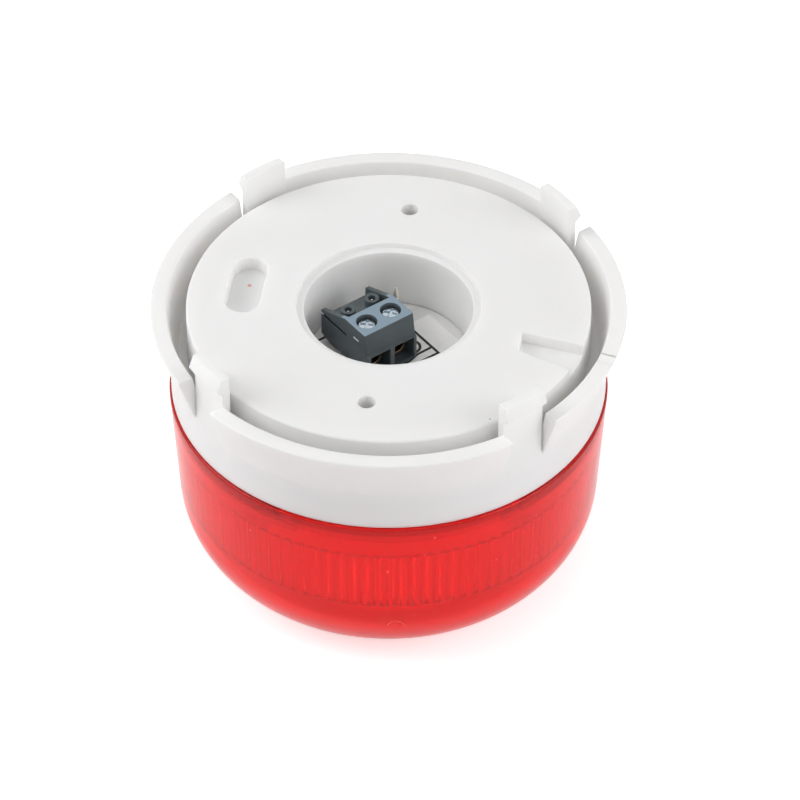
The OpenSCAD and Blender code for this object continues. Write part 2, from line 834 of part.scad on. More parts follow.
// A captive screw: a round head with a cross slot, and a thread that reaches down to the bar
module terminal_screw(x, slot_angle) {
    slot = 0.5;
    head_foot = seat_h + run_gap;
    color("silver")
    at_terminal()
    translate([x, 0, 0])
    difference() {
        union() {
            translate([0, 0, head_foot]) cylinder(d = terminal_head_d, h = terminal_head_h);
            translate([0, 0, thread_foot])
                cylinder(d = terminal_thread_d, h = head_foot - thread_foot + bite);
        }
        for (turn = [0, 90])
            rotate([0, 0, slot_angle + turn])
                translate([-terminal_head_d, -slot / 2, head_foot + terminal_head_h - slot])
                    cube([2 * terminal_head_d, slot, slot + over]);
    }
}

module terminal_screw_1() {
    terminal_screw(way_x[0], 45);
}

module terminal_screw_2() {
    terminal_screw(way_x[1], 35);
}

// A cage's end outline, set in by a wall, with round bends at its foot
module cage_outline(wall) {
    r = cage_bend + cage_wall - wall;
    half = cage_w / 2 - wall;
    translate([-half, wall + r]) square([2 * half, cage_h - 2 * wall - r]);
    translate([-half + r, wall]) square([2 * half - 2 * r, cage_h - 2 * wall]);
    for (side = [-1, 1])
        translate([side * (half - r), wall + r]) circle(r = r);
}

// A clamp cage: a sleeve, open front and back, that the screw draws up
module terminal_cage(x) {
    color("goldenrod")
    at_terminal()
    translate([x, 0, cage_foot])
    difference() {
        translate([0, cage_l / 2, 0])
            rotate([90, 0, 0]) linear_extrude(cage_l) cage_outline(0);
        translate([0, cage_l / 2 + over, 0])
            rotate([90, 0, 0]) linear_extrude(cage_l + 2 * over) cage_outline(cage_wall);
        translate([0, 0, cage_h - cage_wall - over / 2])
            cylinder(d = terminal_thread_d + 2 * run_gap, h = cage_wall + over);
    }
}

module terminal_cage_1() {
    terminal_cage(way_x[0]);
}

module terminal_cage_2() {
    terminal_cage(way_x[1]);
}

base_housing();
lens();
lens_seal();
circuit_board();
board_screws();
leds();
smoothing_capacitor();
power_inductor();
rectifier();
surge_suppressor();
driver_chip();
flash_controller();
chip_resistors();
test_post();
terminal_housing();
terminal_contacts();
terminal_screw_1();
terminal_screw_2();
terminal_cage_1();
terminal_cage_2();
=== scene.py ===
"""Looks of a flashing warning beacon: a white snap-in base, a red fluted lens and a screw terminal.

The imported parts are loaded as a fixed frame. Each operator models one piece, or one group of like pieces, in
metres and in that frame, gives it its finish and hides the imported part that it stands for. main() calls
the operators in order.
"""

import math

import bmesh
import bpy
from bpy.props import FloatProperty, FloatVectorProperty, IntProperty, PointerProperty
from mathutils import Matrix, Vector


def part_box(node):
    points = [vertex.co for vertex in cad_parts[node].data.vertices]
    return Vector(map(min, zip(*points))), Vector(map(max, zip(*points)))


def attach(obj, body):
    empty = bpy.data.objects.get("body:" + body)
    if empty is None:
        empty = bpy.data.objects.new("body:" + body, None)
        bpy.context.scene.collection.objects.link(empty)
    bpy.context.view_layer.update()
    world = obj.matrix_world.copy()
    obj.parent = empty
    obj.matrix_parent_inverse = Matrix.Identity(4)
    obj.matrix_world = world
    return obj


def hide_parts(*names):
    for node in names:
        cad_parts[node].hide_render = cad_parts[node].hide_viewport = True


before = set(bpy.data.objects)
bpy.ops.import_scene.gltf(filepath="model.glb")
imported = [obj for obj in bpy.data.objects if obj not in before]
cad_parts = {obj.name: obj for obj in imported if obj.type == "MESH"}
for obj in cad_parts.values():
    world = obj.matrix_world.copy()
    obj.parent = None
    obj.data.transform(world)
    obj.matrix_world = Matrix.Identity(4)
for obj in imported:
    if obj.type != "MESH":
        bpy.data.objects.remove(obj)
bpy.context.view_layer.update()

bl_info = {
    "name": "Flashing warning beacon",
    "version": (1, 0, 0),
    "blender": (4, 5, 0),
    "location": "3D View > Sidebar > Beacon",
    "description": "Models the beacon's visible pieces, their finishes and a plain studio",
    "category": "Object",
}

MM = 0.001
MERGE = 1e-7
SLIVER = 2e-5

LENS_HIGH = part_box("lens")[1]
BOARD_LOW, BOARD_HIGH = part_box("circuit_board")
SEAL_LOW, SEAL_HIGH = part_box("lens_seal")
LED_LOW, LED_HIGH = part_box("leds")
TERMINAL_PLACE = Vector((-1.58 * MM, -1.16 * MM, BOARD_HIGH.z))
TERMINAL_TURN = math.radians(45)
AT_TERMINAL = Matrix.Translation(TERMINAL_PLACE) @ Matrix.Rotation(TERMINAL_TURN, 4, "Z")
TURNED_OVER = Matrix.Rotation(math.pi, 4, "X")
HALF_PITCH = 2.54 * MM
HAIR_PLACE = Vector((6.54 * MM, -36.01 * MM, 12.13 * MM))
HAIR_BEND = 1.46 * MM


def length(label, text, millimetres):
    """A size that a user may change, in metres."""
    return FloatProperty(name=label, description=text, default=millimetres * MM, unit="LENGTH",
                         subtype="DISTANCE", precision=5)


def angle(label, text, degrees):
    """An angle that a user may change, in radians."""
    return FloatProperty(name=label, description=text, default=math.radians(degrees), unit="ROTATION",
                         subtype="ANGLE")


def colour(label, text, value):
    """A colour that a user may change, in linear light."""
    return FloatVectorProperty(name=label, description=text, default=value, size=3, subtype="COLOR",
                               min=0, max=1)


def level(label, text, value, unit="NONE"):
    """A strength or another plain figure that a user may change."""
    return FloatProperty(name=label, description=text, default=value, unit=unit)


class BaseSettings(bpy.types.PropertyGroup):
    """Sizes and colour of the white base."""

    edge: length("Edge rounding", "Rounding of the moulding's edges", 0.15)
    gap_foot: length("Gap foot", "Height of the foot of the gaps round the hooks", 44)
    skirt: length("Skirt", "Radius of the skirt", 37.9)
    white: colour("Plastic", "Colour of the base's plastic", (0.93, 0.924, 0.914))


class LensSettings(bpy.types.PropertyGroup):
    """Sizes and colours of the red lens and its seal."""

    draft: angle("Draft", "Lean of the side from upright", 3.3)
    corner: length("Corner radius", "Radius where the side turns into the crown", 16)
    wall: length("Wall", "Thickness of the crown and the corner", 2.3)
    edge_wall: length("Edge wall", "Thickness of the wall at the open edge", 2.4)
    step: length("Step height", "Height of the step above the grooves", 28.5)
    foot: length("Groove foot", "Height of the grooves' lower ends", 16.1)
    ledge: length("Ledge", "Ledge under the fluted band", 0.2)
    groove: length("Groove depth", "Depth of the grooves inside the lens", 0.6)
    grooves: IntProperty(name="Grooves", description="Number of grooves inside the lens", default=100, min=20)
    lugs: IntProperty(name="Lugs", description="Number of lugs that hold the lens", default=3, min=2)
    lug_span: angle("Lug span", "Angle that a lug spans", 51)
    lug_middle: angle("Lug middle", "Angle of the first lug's middle", -18)
    lug_low: length("Lug foot", "Height of a lug's underside", 32.6)
    lug_high: length("Lug top", "Height of a lug's upper face", 34)
    lug_bore: length("Lug bore", "Radius at the lugs' inner faces", 34.6)
    red: colour("Lens", "Colour of the lens", (0.97, 0.014, 0.011))
    seal: colour("Seal", "Colour of the seal ring", (0.05, 0.05, 0.05))


class BoardSettings(bpy.types.PropertyGroup):
    """Sizes and colours of the circuit board and what it carries."""

    edge: length("Edge rounding", "Rounding of the board's edge", 0.15)
    print_width: length("Print width", "Width of a printed line", 0.5)
    print_height: length("Print height", "Height of the printed ink", 0.03)
    mask: colour("Board", "Colour of the board's lacquer", (0.97, 0.965, 0.95))
    ink: colour("Ink", "Colour of the printed lines", (0.012, 0.012, 0.014))
    package: colour("Chip", "Colour of a chip's package", (0.022, 0.022, 0.024))
    phosphor: colour("Light window", "Colour of a diode's light window", (0.85, 0.68, 0.16))


class TerminalSettings(bpy.types.PropertyGroup):
    """Sizes and colours of the terminal block."""

    edge: length("Edge rounding", "Rounding of the block's edges", 0.12)
    plastic: colour("Block", "Colour of the block's plastic", (0.07, 0.09, 0.098))
    # film and painted_sheen_from paint a paler, bluer sheen on the block's upward faces, standing in for the
    # sky's reflection on them
    painted_sheen: colour("Film", "Colour of the sheen_painted upper faces of the block", (0.23, 0.31, 0.38))
    painted_sheen_from: length("Film height", "Height from which the block's upper faces are sheen_painted", 51.5)
    zinc: colour("Screws", "Colour of the zinc plate", (0.54, 0.61, 0.66))
    brass: colour("Contacts", "Colour of the brass", (0.25, 0.2, 0.13))


class StageSettings(bpy.types.PropertyGroup):
    """Camera, lamps and floor."""

    eye: FloatVectorProperty(name="Camera", description="Place of the camera", size=3, subtype="TRANSLATION",
                             unit="LENGTH", default=(0.087805, -0.595261, 0.581214))
    turn: FloatVectorProperty(name="Camera turn", description="Turn of the camera", size=3, subtype="EULER",
                              default=[math.radians(a) for a in (47.58281, -0.09428, 8.28782)])
    focal: level("Focal length", "Focal length of the camera", 209.19, "CAMERA")
    ambient: level("Ambient", "Strength of the light from all round", 0.43)
    lean: level("Lean", "How much more light comes from behind than from the front", 0.08)
    left: level("Left lamp", "Power of the left lamp", 3.85, "POWER")
    right: level("Right lamp", "Power of the right lamp", 3.05, "POWER")
    top: level("Top lamp", "Power of the top lamp", 0.5, "POWER")
    glow: level("Floor glow", "White that the floor adds where it is seen", 0.58)
    sheen: level("Floor sheen", "White that the floor adds in a gloss", 0.4)
    through: level("Floor through", "White that the floor adds through a clear piece", 0.95)
    # covered is a painted shadow: it dims the floor's white under the lens
    covered: level("Floor covered", "Share of that white that is left under the lens", 0.25)
    floor: colour("Floor", "Colour of the floor", (0.9, 0.9, 0.9))


SETTINGS = {
    "beacon_base": BaseSettings,
    "beacon_lens": LensSettings,
    "beacon_board": BoardSettings,
    "beacon_terminal": TerminalSettings,
    "beacon_stage": StageSettings,
}


# Mesh tools

def only(obj):
    """Makes obj the one selected and active object."""
    bpy.ops.object.select_all(action="DESELECT")
    obj.select_set(True)
    bpy.context.view_layer.objects.active = obj


def edit(obj):
    """Opens obj in edit mode with all of it selected."""
    only(obj)
    bpy.ops.object.mode_set(mode="EDIT")
    bpy.ops.mesh.select_mode(type="VERT")
    bpy.ops.mesh.select_all(action="SELECT")


def done():
    """Leaves edit mode."""
    bpy.ops.object.mode_set(mode="OBJECT")


def named(name):
    """Names the object that was just added, and returns it."""
    obj = bpy.context.object
    obj.name = name
    obj.data.name = name
    return obj


def settle():
    """Puts the selected object's place, turn and size into its mesh."""
    bpy.ops.object.transform_apply(location=True, rotation=True, scale=True)


def choose(kind, test):
    """Selects, in edit mode, only the vertices, edges or faces that pass test."""
    bpy.ops.mesh.select_mode(type=kind)
    bpy.ops.mesh.select_all(action="DESELECT")
    mesh = bpy.context.object.data
    shape = bmesh.from_edit_mesh(mesh)
    items = {"VERT": shape.verts, "EDGE": shape.edges, "FACE": shape.faces}[kind]
    for item in items:
        if test(item):
            item.select_set(True)
    shape.select_flush_mode()
    bmesh.update_edit_mesh(mesh)


def near(a, b, play=1e-6):
    """Whether two lengths agree."""
    return abs(a - b) < play


def along(point):
    """Distance of a point from the Z axis."""
    return math.hypot(point.x, point.y)


def upright(edge):
    """Whether an edge runs along Z."""
    a, b = (vertex.co for vertex in edge.verts)
    return near(a.x, b.x) and near(a.y, b.y)


def arc(x, z, radius, start, end, steps):
    """Points of an arc about (x, z), from one angle in degrees to another."""
    turns = [math.radians(start + (end - start) * i / steps) for i in range(steps + 1)]
    return [(x + radius * math.cos(a), z + radius * math.sin(a)) for a in turns]


def polar(radius, degrees):
    """A place on the board from its radius in millimetres and its angle."""
    turn = math.radians(degrees)
    return radius * MM * math.cos(turn), radius * MM * math.sin(turn)


def tidy():
    """Merges doubles in edit mode and turns all faces outwards."""
    bpy.ops.mesh.select_all(action="SELECT")
    bpy.ops.mesh.remove_doubles(threshold=MERGE)
    bpy.ops.mesh.dissolve_degenerate(threshold=MERGE)
    bpy.ops.mesh.select_all(action="SELECT")
    bpy.ops.mesh.normals_make_consistent(inside=False)


def drawn(name, points):
    """Draws a line through points by extruding one vertex, and stays in edit mode with all of it selected."""
    bpy.ops.object.select_all(action="DESELECT")
    bpy.ops.mesh.primitive_plane_add(size=MM)
    obj = named(name)
    edit(obj)
    bpy.ops.mesh.merge(type="CENTER")
    bpy.ops.transform.translate(value=points[0])
    for a, b in zip(points, points[1:]):
        bpy.ops.mesh.extrude_region_move(TRANSFORM_OT_translate={"value": b - a})
    bpy.ops.mesh.select_all(action="SELECT")
    return obj


def spun(name, outline, steps, close=False):
    """Spins an outline of (radius, height) points about Z and returns the closed shape."""
    points = [Vector((r, 0, z)) for r, z in outline]
    if close:
        points.append(points[0])
    obj = drawn(name, points)
    bpy.ops.mesh.spin(steps=steps, angle=2 * math.pi, center=(0, 0, 0), axis=(0, 0, 1))
    tidy()
    done()
    return obj


def block(name, size, centre):
    """A box of a size at a place, to be shaped further."""
    bpy.ops.object.select_all(action="DESELECT")
    bpy.ops.mesh.primitive_cube_add(size=1, location=centre, scale=size)
    obj = named(name)
    settle()
    return obj


def rod(name, radius, low, high, place=(0, 0), sides=48):
    """A round bar between two heights, to be shaped further."""
    bpy.ops.object.select_all(action="DESELECT")
    middle = (place[0], place[1], (low + high) / 2)
    bpy.ops.mesh.primitive_cylinder_add(vertices=sides, radius=radius, depth=high - low, location=middle)
    obj = named(name)
    settle()
    return obj


def apply(obj, kind, **settings):
    """Adds a modifier with its settings and applies it."""
    only(obj)
    modifier = obj.modifiers.new(kind.title(), kind)
    for key, value in settings.items():
        setattr(modifier, key, value)
    bpy.ops.object.modifier_apply(modifier=modifier.name)


def joined(name, objects):
    """Joins objects into one mesh."""
    only(objects[0])
    for obj in objects:
        obj.select_set(True)
    if len(objects) > 1:
        bpy.ops.object.join()
    return named(name)


def combine(obj, tool, operation):
    """Cuts tool out of obj, or adds it, and removes the tool."""
    apply(obj, "BOOLEAN", object=tool, operation=operation, solver="MANIFOLD")
    bpy.data.objects.remove(tool)


def soften(obj, width, segments=2, limit=40):
    """Rounds every edge that is sharper than a limit in degrees."""
    apply(obj, "BEVEL", width=width, segments=segments, limit_method="ANGLE",
          angle_limit=math.radians(limit), use_clamp_overlap=False, miter_outer="MITER_ARC")


def smooth(obj, limit=35):
    """Shades obj smooth, apart from edges sharper than a limit in degrees."""
    only(obj)
    bpy.ops.object.shade_smooth_by_angle(angle=math.radians(limit))


def eased(obj, width):
    """Rounds obj's edges and shades it smooth, with its wide faces kept flat."""
    soften(obj, width)
    smooth(obj)
    apply(obj, "WEIGHTED_NORMAL", keep_sharp=True)
    return obj


def placed(obj, matrix):
    """Moves obj and puts its place into its mesh."""
    only(obj)
    obj.matrix_world = matrix
    settle()
    return obj


def repeated(name, obj, matrices):
    """Copies obj to each place, each copy with its own mesh, and joins the copies."""
    copies = []
    for matrix in matrices:
        copy = obj.copy()
        copy.data = obj.data.copy()
        bpy.context.scene.collection.objects.link(copy)
        copies.append(placed(copy, matrix))
    bpy.data.objects.remove(obj)
    return joined(name, copies)


def rounded_blocks(name, size, centres, width):
    """Like boxes with rounded edges, joined and shaded smooth."""
    blocks = []
    for centre in centres:
        one = block(name, size, centre)
        soften(one, width)
        blocks.append(one)
    obj = joined(name, blocks)
    smooth(obj)
    return obj


def rounded_copy(name, node, width, slivers=None):
    """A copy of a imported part's mesh with its edges rounded. slivers picks the corners of waste faces."""
    obj = bpy.data.objects.new(name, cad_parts[node].data.copy())
    bpy.context.scene.collection.objects.link(obj)
    obj.data.name = name
    obj.data.materials.clear()
    edit(obj)
    bpy.ops.mesh.remove_doubles(threshold=MERGE)
    if slivers:
        choose("VERT", slivers)
        bpy.ops.mesh.dissolve_degenerate(threshold=SLIVER)
        bpy.ops.mesh.select_all(action="SELECT")
    bpy.ops.mesh.dissolve_limited(angle_limit=math.radians(0.5))
    done()
    return eased(obj, width)


def hand_in(obj, body, look, slot, *nodes):
    """Gives a piece its finish and its body, and hides the parts that it stands for. slot is not used."""
    obj.data.materials.clear()
    obj.data.materials.append(look)
    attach(obj, body)
    if nodes:
        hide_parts(*nodes)


def hand_in_tinned(obj):
    """Gives a tinned piece its finish and sets it to ride on the base."""
    hand_in(obj, "base", bpy.data.materials["Tinned metal"], "tinned_metal")


def hand_in_package(obj, *nodes):
    """Gives a piece of a chip's plastic its finish, sets it to ride on the base and hides the parts that it
    stands for.
    """
    hand_in(obj, "base", bpy.data.materials["Chip package"], "chip_package", *nodes)


# Shader tools

def put(tree, kind, sockets=None, **settings):
    """Adds a shader node. sockets maps an input to a value or to another node's output."""
    node = tree.nodes.new(kind)
    for key, value in settings.items():
        setattr(node, key, value)
    for key, value in (sockets or {}).items():
        feed(tree, node, key, value)
    return node


def feed(tree, node, key, value):
    """Sets an input of a node, or links another node's output to it."""
    if isinstance(value, bpy.types.NodeSocket):
        tree.links.new(value, node.inputs[key])
    else:
        node.inputs[key].default_value = value


def fix(shader, values):
    """Sets the sockets that are the same all over a piece."""
    for key, value in values.items():
        shader.inputs[key].default_value = value


def figure(tree, operation, a, b=0.0):
    """The result of a sum of one or two values."""
    return put(tree, "ShaderNodeMath", {0: a, 1: b}, operation=operation).outputs[0]


def spread(tree, value, low, high, new_low, new_high):
    """A value taken from one range to another, and kept inside it."""
    sockets = {"Value": value, "From Min": low, "From Max": high, "To Min": new_low, "To Max": new_high}
    return put(tree, "ShaderNodeMapRange", sockets, clamp=True).outputs["Result"]


def surface_point(tree):
    """The point that is shaded, in the piece's own frame."""
    return put(tree, "ShaderNodeTexCoord").outputs["Object"]


def axis_of(tree, vector, axis):
    """One axis of a vector."""
    return put(tree, "ShaderNodeSeparateXYZ", {"Vector": vector}).outputs[axis]


def distance_to(tree, place):
    """Distance from the point that is shaded to a place."""
    sockets = {0: surface_point(tree), 1: place}
    return put(tree, "ShaderNodeVectorMath", sockets, operation="DISTANCE").outputs["Value"]


def opaque(value):
    """A colour with full cover, or the socket that was given."""
    return value if isinstance(value, bpy.types.NodeSocket) else (*value, 1)


def shade_between(tree, factor, a, b):
    """A colour between two colours."""
    node = put(tree, "ShaderNodeMix", {0: factor}, data_type="RGBA")
    feed(tree, node, 6, opaque(a))
    feed(tree, node, 7, opaque(b))
    return node.outputs[2]


def toned(tint, factor):
    """A colour made darker or lighter by a factor."""
    return [channel * factor for channel in tint]


def group(name, inputs, outputs):
    """A new shader node group with value inputs and outputs, and its two end nodes."""
    tree = bpy.data.node_groups.new(name, "ShaderNodeTree")
    for label, value in inputs.items():
        socket = tree.interface.new_socket(name=label, in_out="INPUT", socket_type="NodeSocketFloat")
        socket.default_value = value
    for label in outputs:
        tree.interface.new_socket(name=label, in_out="OUTPUT", socket_type="NodeSocketFloat")
    return tree, tree.nodes.new("NodeGroupInput"), tree.nodes.new("NodeGroupOutput")


def place_group(tree, name, **values):
    """Places a shared group in a material with its own values."""
    node = put(tree, "ShaderNodeGroup", node_tree=bpy.data.node_groups[name])
    fix(node, values)
    return node


def cloud(tree, scale, **values):
    """A noise on the piece's own frame."""
    sockets = {"Vector": surface_point(tree), "Scale": scale, **values}
    return put(tree, "ShaderNodeTexNoise", sockets).outputs["Fac"]


def make_groups():
    """Builds the effects that several finishes share."""
    tree, start, end = group("Moulded grain", {"Grain": 4000, "Mottle": 60}, ["Height", "Patch"])
    feed(tree, end, "Height", cloud(tree, start.outputs["Grain"], Detail=2))
    feed(tree, end, "Patch", cloud(tree, start.outputs["Mottle"], Detail=4))

    tree, start, end = group("Dust", {"Spacing": 300, "Size": 0.06, "Share": 0.3}, ["Specks"])
    sockets = {"Vector": surface_point(tree), "Scale": start.outputs["Spacing"]}
    cells = put(tree, "ShaderNodeTexVoronoi", sockets)
    chance = put(tree, "ShaderNodeSeparateColor", {"Color": cells.outputs["Color"]})
    kept = figure(tree, "LESS_THAN", chance.outputs["Red"], start.outputs["Share"])
    size = figure(tree, "MULTIPLY", start.outputs["Size"], chance.outputs["Green"])
    speck = figure(tree, "LESS_THAN", cells.outputs["Distance"], size)
    feed(tree, end, "Specks", figure(tree, "MULTIPLY", kept, speck))

    tree, start, end = group("Tarnish", {"Scale": 900, "Amount": 0.5}, ["Stain", "Height"])
    height = cloud(tree, start.outputs["Scale"], Detail=6, Roughness=0.65)
    stain = spread(tree, height, 0.42, 0.7, 0.0, 1.0)
    feed(tree, end, "Stain", figure(tree, "MULTIPLY", stain, start.outputs["Amount"]))
    feed(tree, end, "Height", height)


def finish(name):
    """A new material, its tree and its main shader."""
    material = bpy.data.materials.new(name)
    material.use_nodes = True
    return material, material.node_tree, material.node_tree.nodes["Principled BSDF"]


def bump(tree, shader, height, strength, distance):
    """Feeds a height to a shader's normal."""
    node = put(tree, "ShaderNodeBump", {"Height": height, "Strength": strength, "Distance": distance})
    feed(tree, shader, "Normal", node.outputs["Normal"])


def patches(tree, surface, low, high):
    """A value that drifts between two limits from patch to patch of a grained surface."""
    return spread(tree, surface.outputs["Patch"], 0.35, 0.65, low, high)


def plastic(name, tint, shade, roughness, grain=4000, mottle=60, relief=0.12, painted_sheen=None, painted_sheen_from=0.0,
            marks=()):
    """A moulded plastic with a fine grain, faint patches of shade and an uneven gloss.

    film is a painted sheen: a paler colour on the upper faces from a height up, standing in for light
    reflected from above; marks are small round stains.
    """
    material, tree, shader = finish(name)
    surface = place_group(tree, "Moulded grain", Grain=grain, Mottle=mottle)
    patch = patches(tree, surface, 0, 1)
    tone = shade_between(tree, patch, toned(tint, shade), tint)
    # Painted sheen: upward faces above a height are made paler, standing in for light reflected from above
    if painted_sheen:
        facing = axis_of(tree, put(tree, "ShaderNodeTexCoord").outputs["Normal"], "Z")
        height = axis_of(tree, surface_point(tree), "Z")
        upward = spread(tree, facing, 0.8, 0.95, 0, 1)
        high = spread(tree, height, painted_sheen_from, painted_sheen_from + 0.1 * MM, 0, 1)
        tone = shade_between(tree, figure(tree, "MULTIPLY", upward, high), tone, painted_sheen)
    for place, radius, stain in marks:
        cover = spread(tree, distance_to(tree, place), 0.5 * radius, radius, 0.85, 0)
        tone = shade_between(tree, cover, tone, stain)
    feed(tree, shader, "Base Color", tone)
    feed(tree, shader, "Roughness", spread(tree, patch, 0, 1, roughness + 0.05, roughness - 0.05))
    bump(tree, shader, surface.outputs["Height"], strength=relief, distance=0.03 * MM)
    return material


def metal(name, tint, stain_tint, roughness, scale=900):
    """A plated or plain metal with cloudy stains."""
    material, tree, shader = finish(name)
    tarnish = place_group(tree, "Tarnish", Scale=scale, Amount=0.5)
    stain = tarnish.outputs["Stain"]
    feed(tree, shader, "Base Color", shade_between(tree, stain, tint, stain_tint))
    feed(tree, shader, "Roughness", spread(tree, stain, 0, 1, roughness, roughness + 0.2))
    fix(shader, {"Metallic": 1})
    bump(tree, shader, tarnish.outputs["Height"], strength=0.15, distance=0.02 * MM)
    return material


def clear_red(tint):
    """The lens: clear red plastic with a soft gloss, painted shade in deeper red along its top edge under the
    base, a few specks of dust and a hair.
    """
    material, tree, shader = finish("Clear red")
    surface = place_group(tree, "Moulded grain", Grain=900, Mottle=120)
    dust = place_group(tree, "Dust", Spacing=620, Size=0.075, Share=0.3)
    dust_tint = (0.95, 0.4, 0.36)
    # Painted shade: a band near the lens's top edge, under the base's skirt, is made deeper red to stand in
    # for the shade there
    shade_low, shade_high = 34.9 * MM, 35.3 * MM
    hair_low = HAIR_PLACE.z + 0.3 * MM
    height = axis_of(tree, surface_point(tree), "Z")
    edge = spread(tree, height, shade_low, shade_high, 0, 1)
    beside = figure(tree, "ABSOLUTE", figure(tree, "SUBTRACT", distance_to(tree, HAIR_PLACE), HAIR_BEND))
    hair = figure(tree, "MULTIPLY", spread(tree, beside, 0.04 * MM, 0.09 * MM, 0.8, 0),
                  spread(tree, height, hair_low, hair_low + 0.1 * MM, 0, 1))
    dirt = figure(tree, "MAXIMUM", dust.outputs["Specks"], hair)
    red = shade_between(tree, edge, tint, toned(tint, 0.65))
    feed(tree, shader, "Base Color", shade_between(tree, dirt, red, dust_tint))
    haze = patches(tree, surface, 0.09, 0.15)
    feed(tree, shader, "Roughness", figure(tree, "ADD", haze, figure(tree, "MULTIPLY", dirt, 0.5)))
    fix(shader, {"Transmission Weight": 0.74, "Specular IOR Level": 0.25, "IOR": 1.33})
    bump(tree, shader, surface.outputs["Height"], strength=0.03, distance=0.02 * MM)
    return material


def board_lacquer(tint):
    """The board's white lacquer: paler inside a straight-edged patch by the block and darker outside it, with
    faint raised tracks.
    """
    material, tree, shader = finish("Board lacquer")
    sockets = {"Vector": surface_point(tree), "Location": TERMINAL_PLACE, "Rotation": (0, 0, TERMINAL_TURN)}
    where = put(tree, "ShaderNodeMapping", sockets, vector_type="TEXTURE").outputs["Vector"]
    tracks = put(tree, "ShaderNodeTexBrick", {"Vector": where, "Scale": 160, "Mortar Size": 0.03})
    raised = tracks.outputs["Fac"]
    # The lacquer is paler inside a straight-edged patch by the block and darker outside it
    patch_side, patch_back, patch_fade = 14.1 * MM, 4.2 * MM, 0.2 * MM
    beside = spread(tree, axis_of(tree, where, "X"), patch_side, patch_side + patch_fade, 1, 0)
    before = spread(tree, axis_of(tree, where, "Y"), patch_back, patch_back + patch_fade, 1, 0)
    paler_patch = figure(tree, "MULTIPLY", beside, before)
    surface = place_group(tree, "Moulded grain", Grain=3000, Mottle=90)
    patch = patches(tree, surface, 0, 0.6)
    dull = toned(tint, 0.82)
    base = shade_between(tree, paler_patch, dull, shade_between(tree, patch, tint, toned(tint, 0.93)))
    track_shade = figure(tree, "MULTIPLY", raised, 0.07)
    feed(tree, shader, "Base Color", shade_between(tree, track_shade, base, dull))
    feed(tree, shader, "Roughness", spread(tree, patch, 0, 1, 0.3, 0.45))
    bump(tree, shader, raised, strength=0.06, distance=0.03 * MM)
    return material


# Pieces

class BEACON_OT_base(bpy.types.Operator):
    """Rounds the edges of the white base and gives it its plastic"""

    bl_idname = "beacon.base"
    bl_label = "White base"

    # Place, radius and colour of each small stain
    marks = (
        (Vector((-25.06, 4.26, 51.2)) * MM, 0.45 * MM, (0.75, 0.28, 0.2)),
        (Vector((-24.05, 25.5, 54)) * MM, 0.22 * MM, (0.42, 0.42, 0.41)),
        (Vector((21.07, -26.6, 54)) * MM, 0.22 * MM, (0.42, 0.42, 0.41)),
    )
    depth_of_light = 2 * MM

    def execute(self, context):
        settings = context.scene.beacon_base

        def at_hook_foot(vertex):
            at_foot = near(vertex.co.z, settings.gap_foot, SLIVER)
            return at_foot and near(along(vertex.co), settings.skirt, SLIVER)

        obj = rounded_copy("base_shell", "base_housing", settings.edge, slivers=at_hook_foot)
        white = plastic("White plastic", settings.white, shade=0.975, roughness=0.42, marks=self.marks)
        fix(white.node_tree.nodes["Principled BSDF"], {
            "Subsurface Weight": 0.85,
            "Subsurface Radius": (1, 0.95, 0.9),
            "Subsurface Scale": self.depth_of_light,
        })
        hand_in(obj, "base", white, "white_plastic", "base_housing")
        return {"FINISHED"}


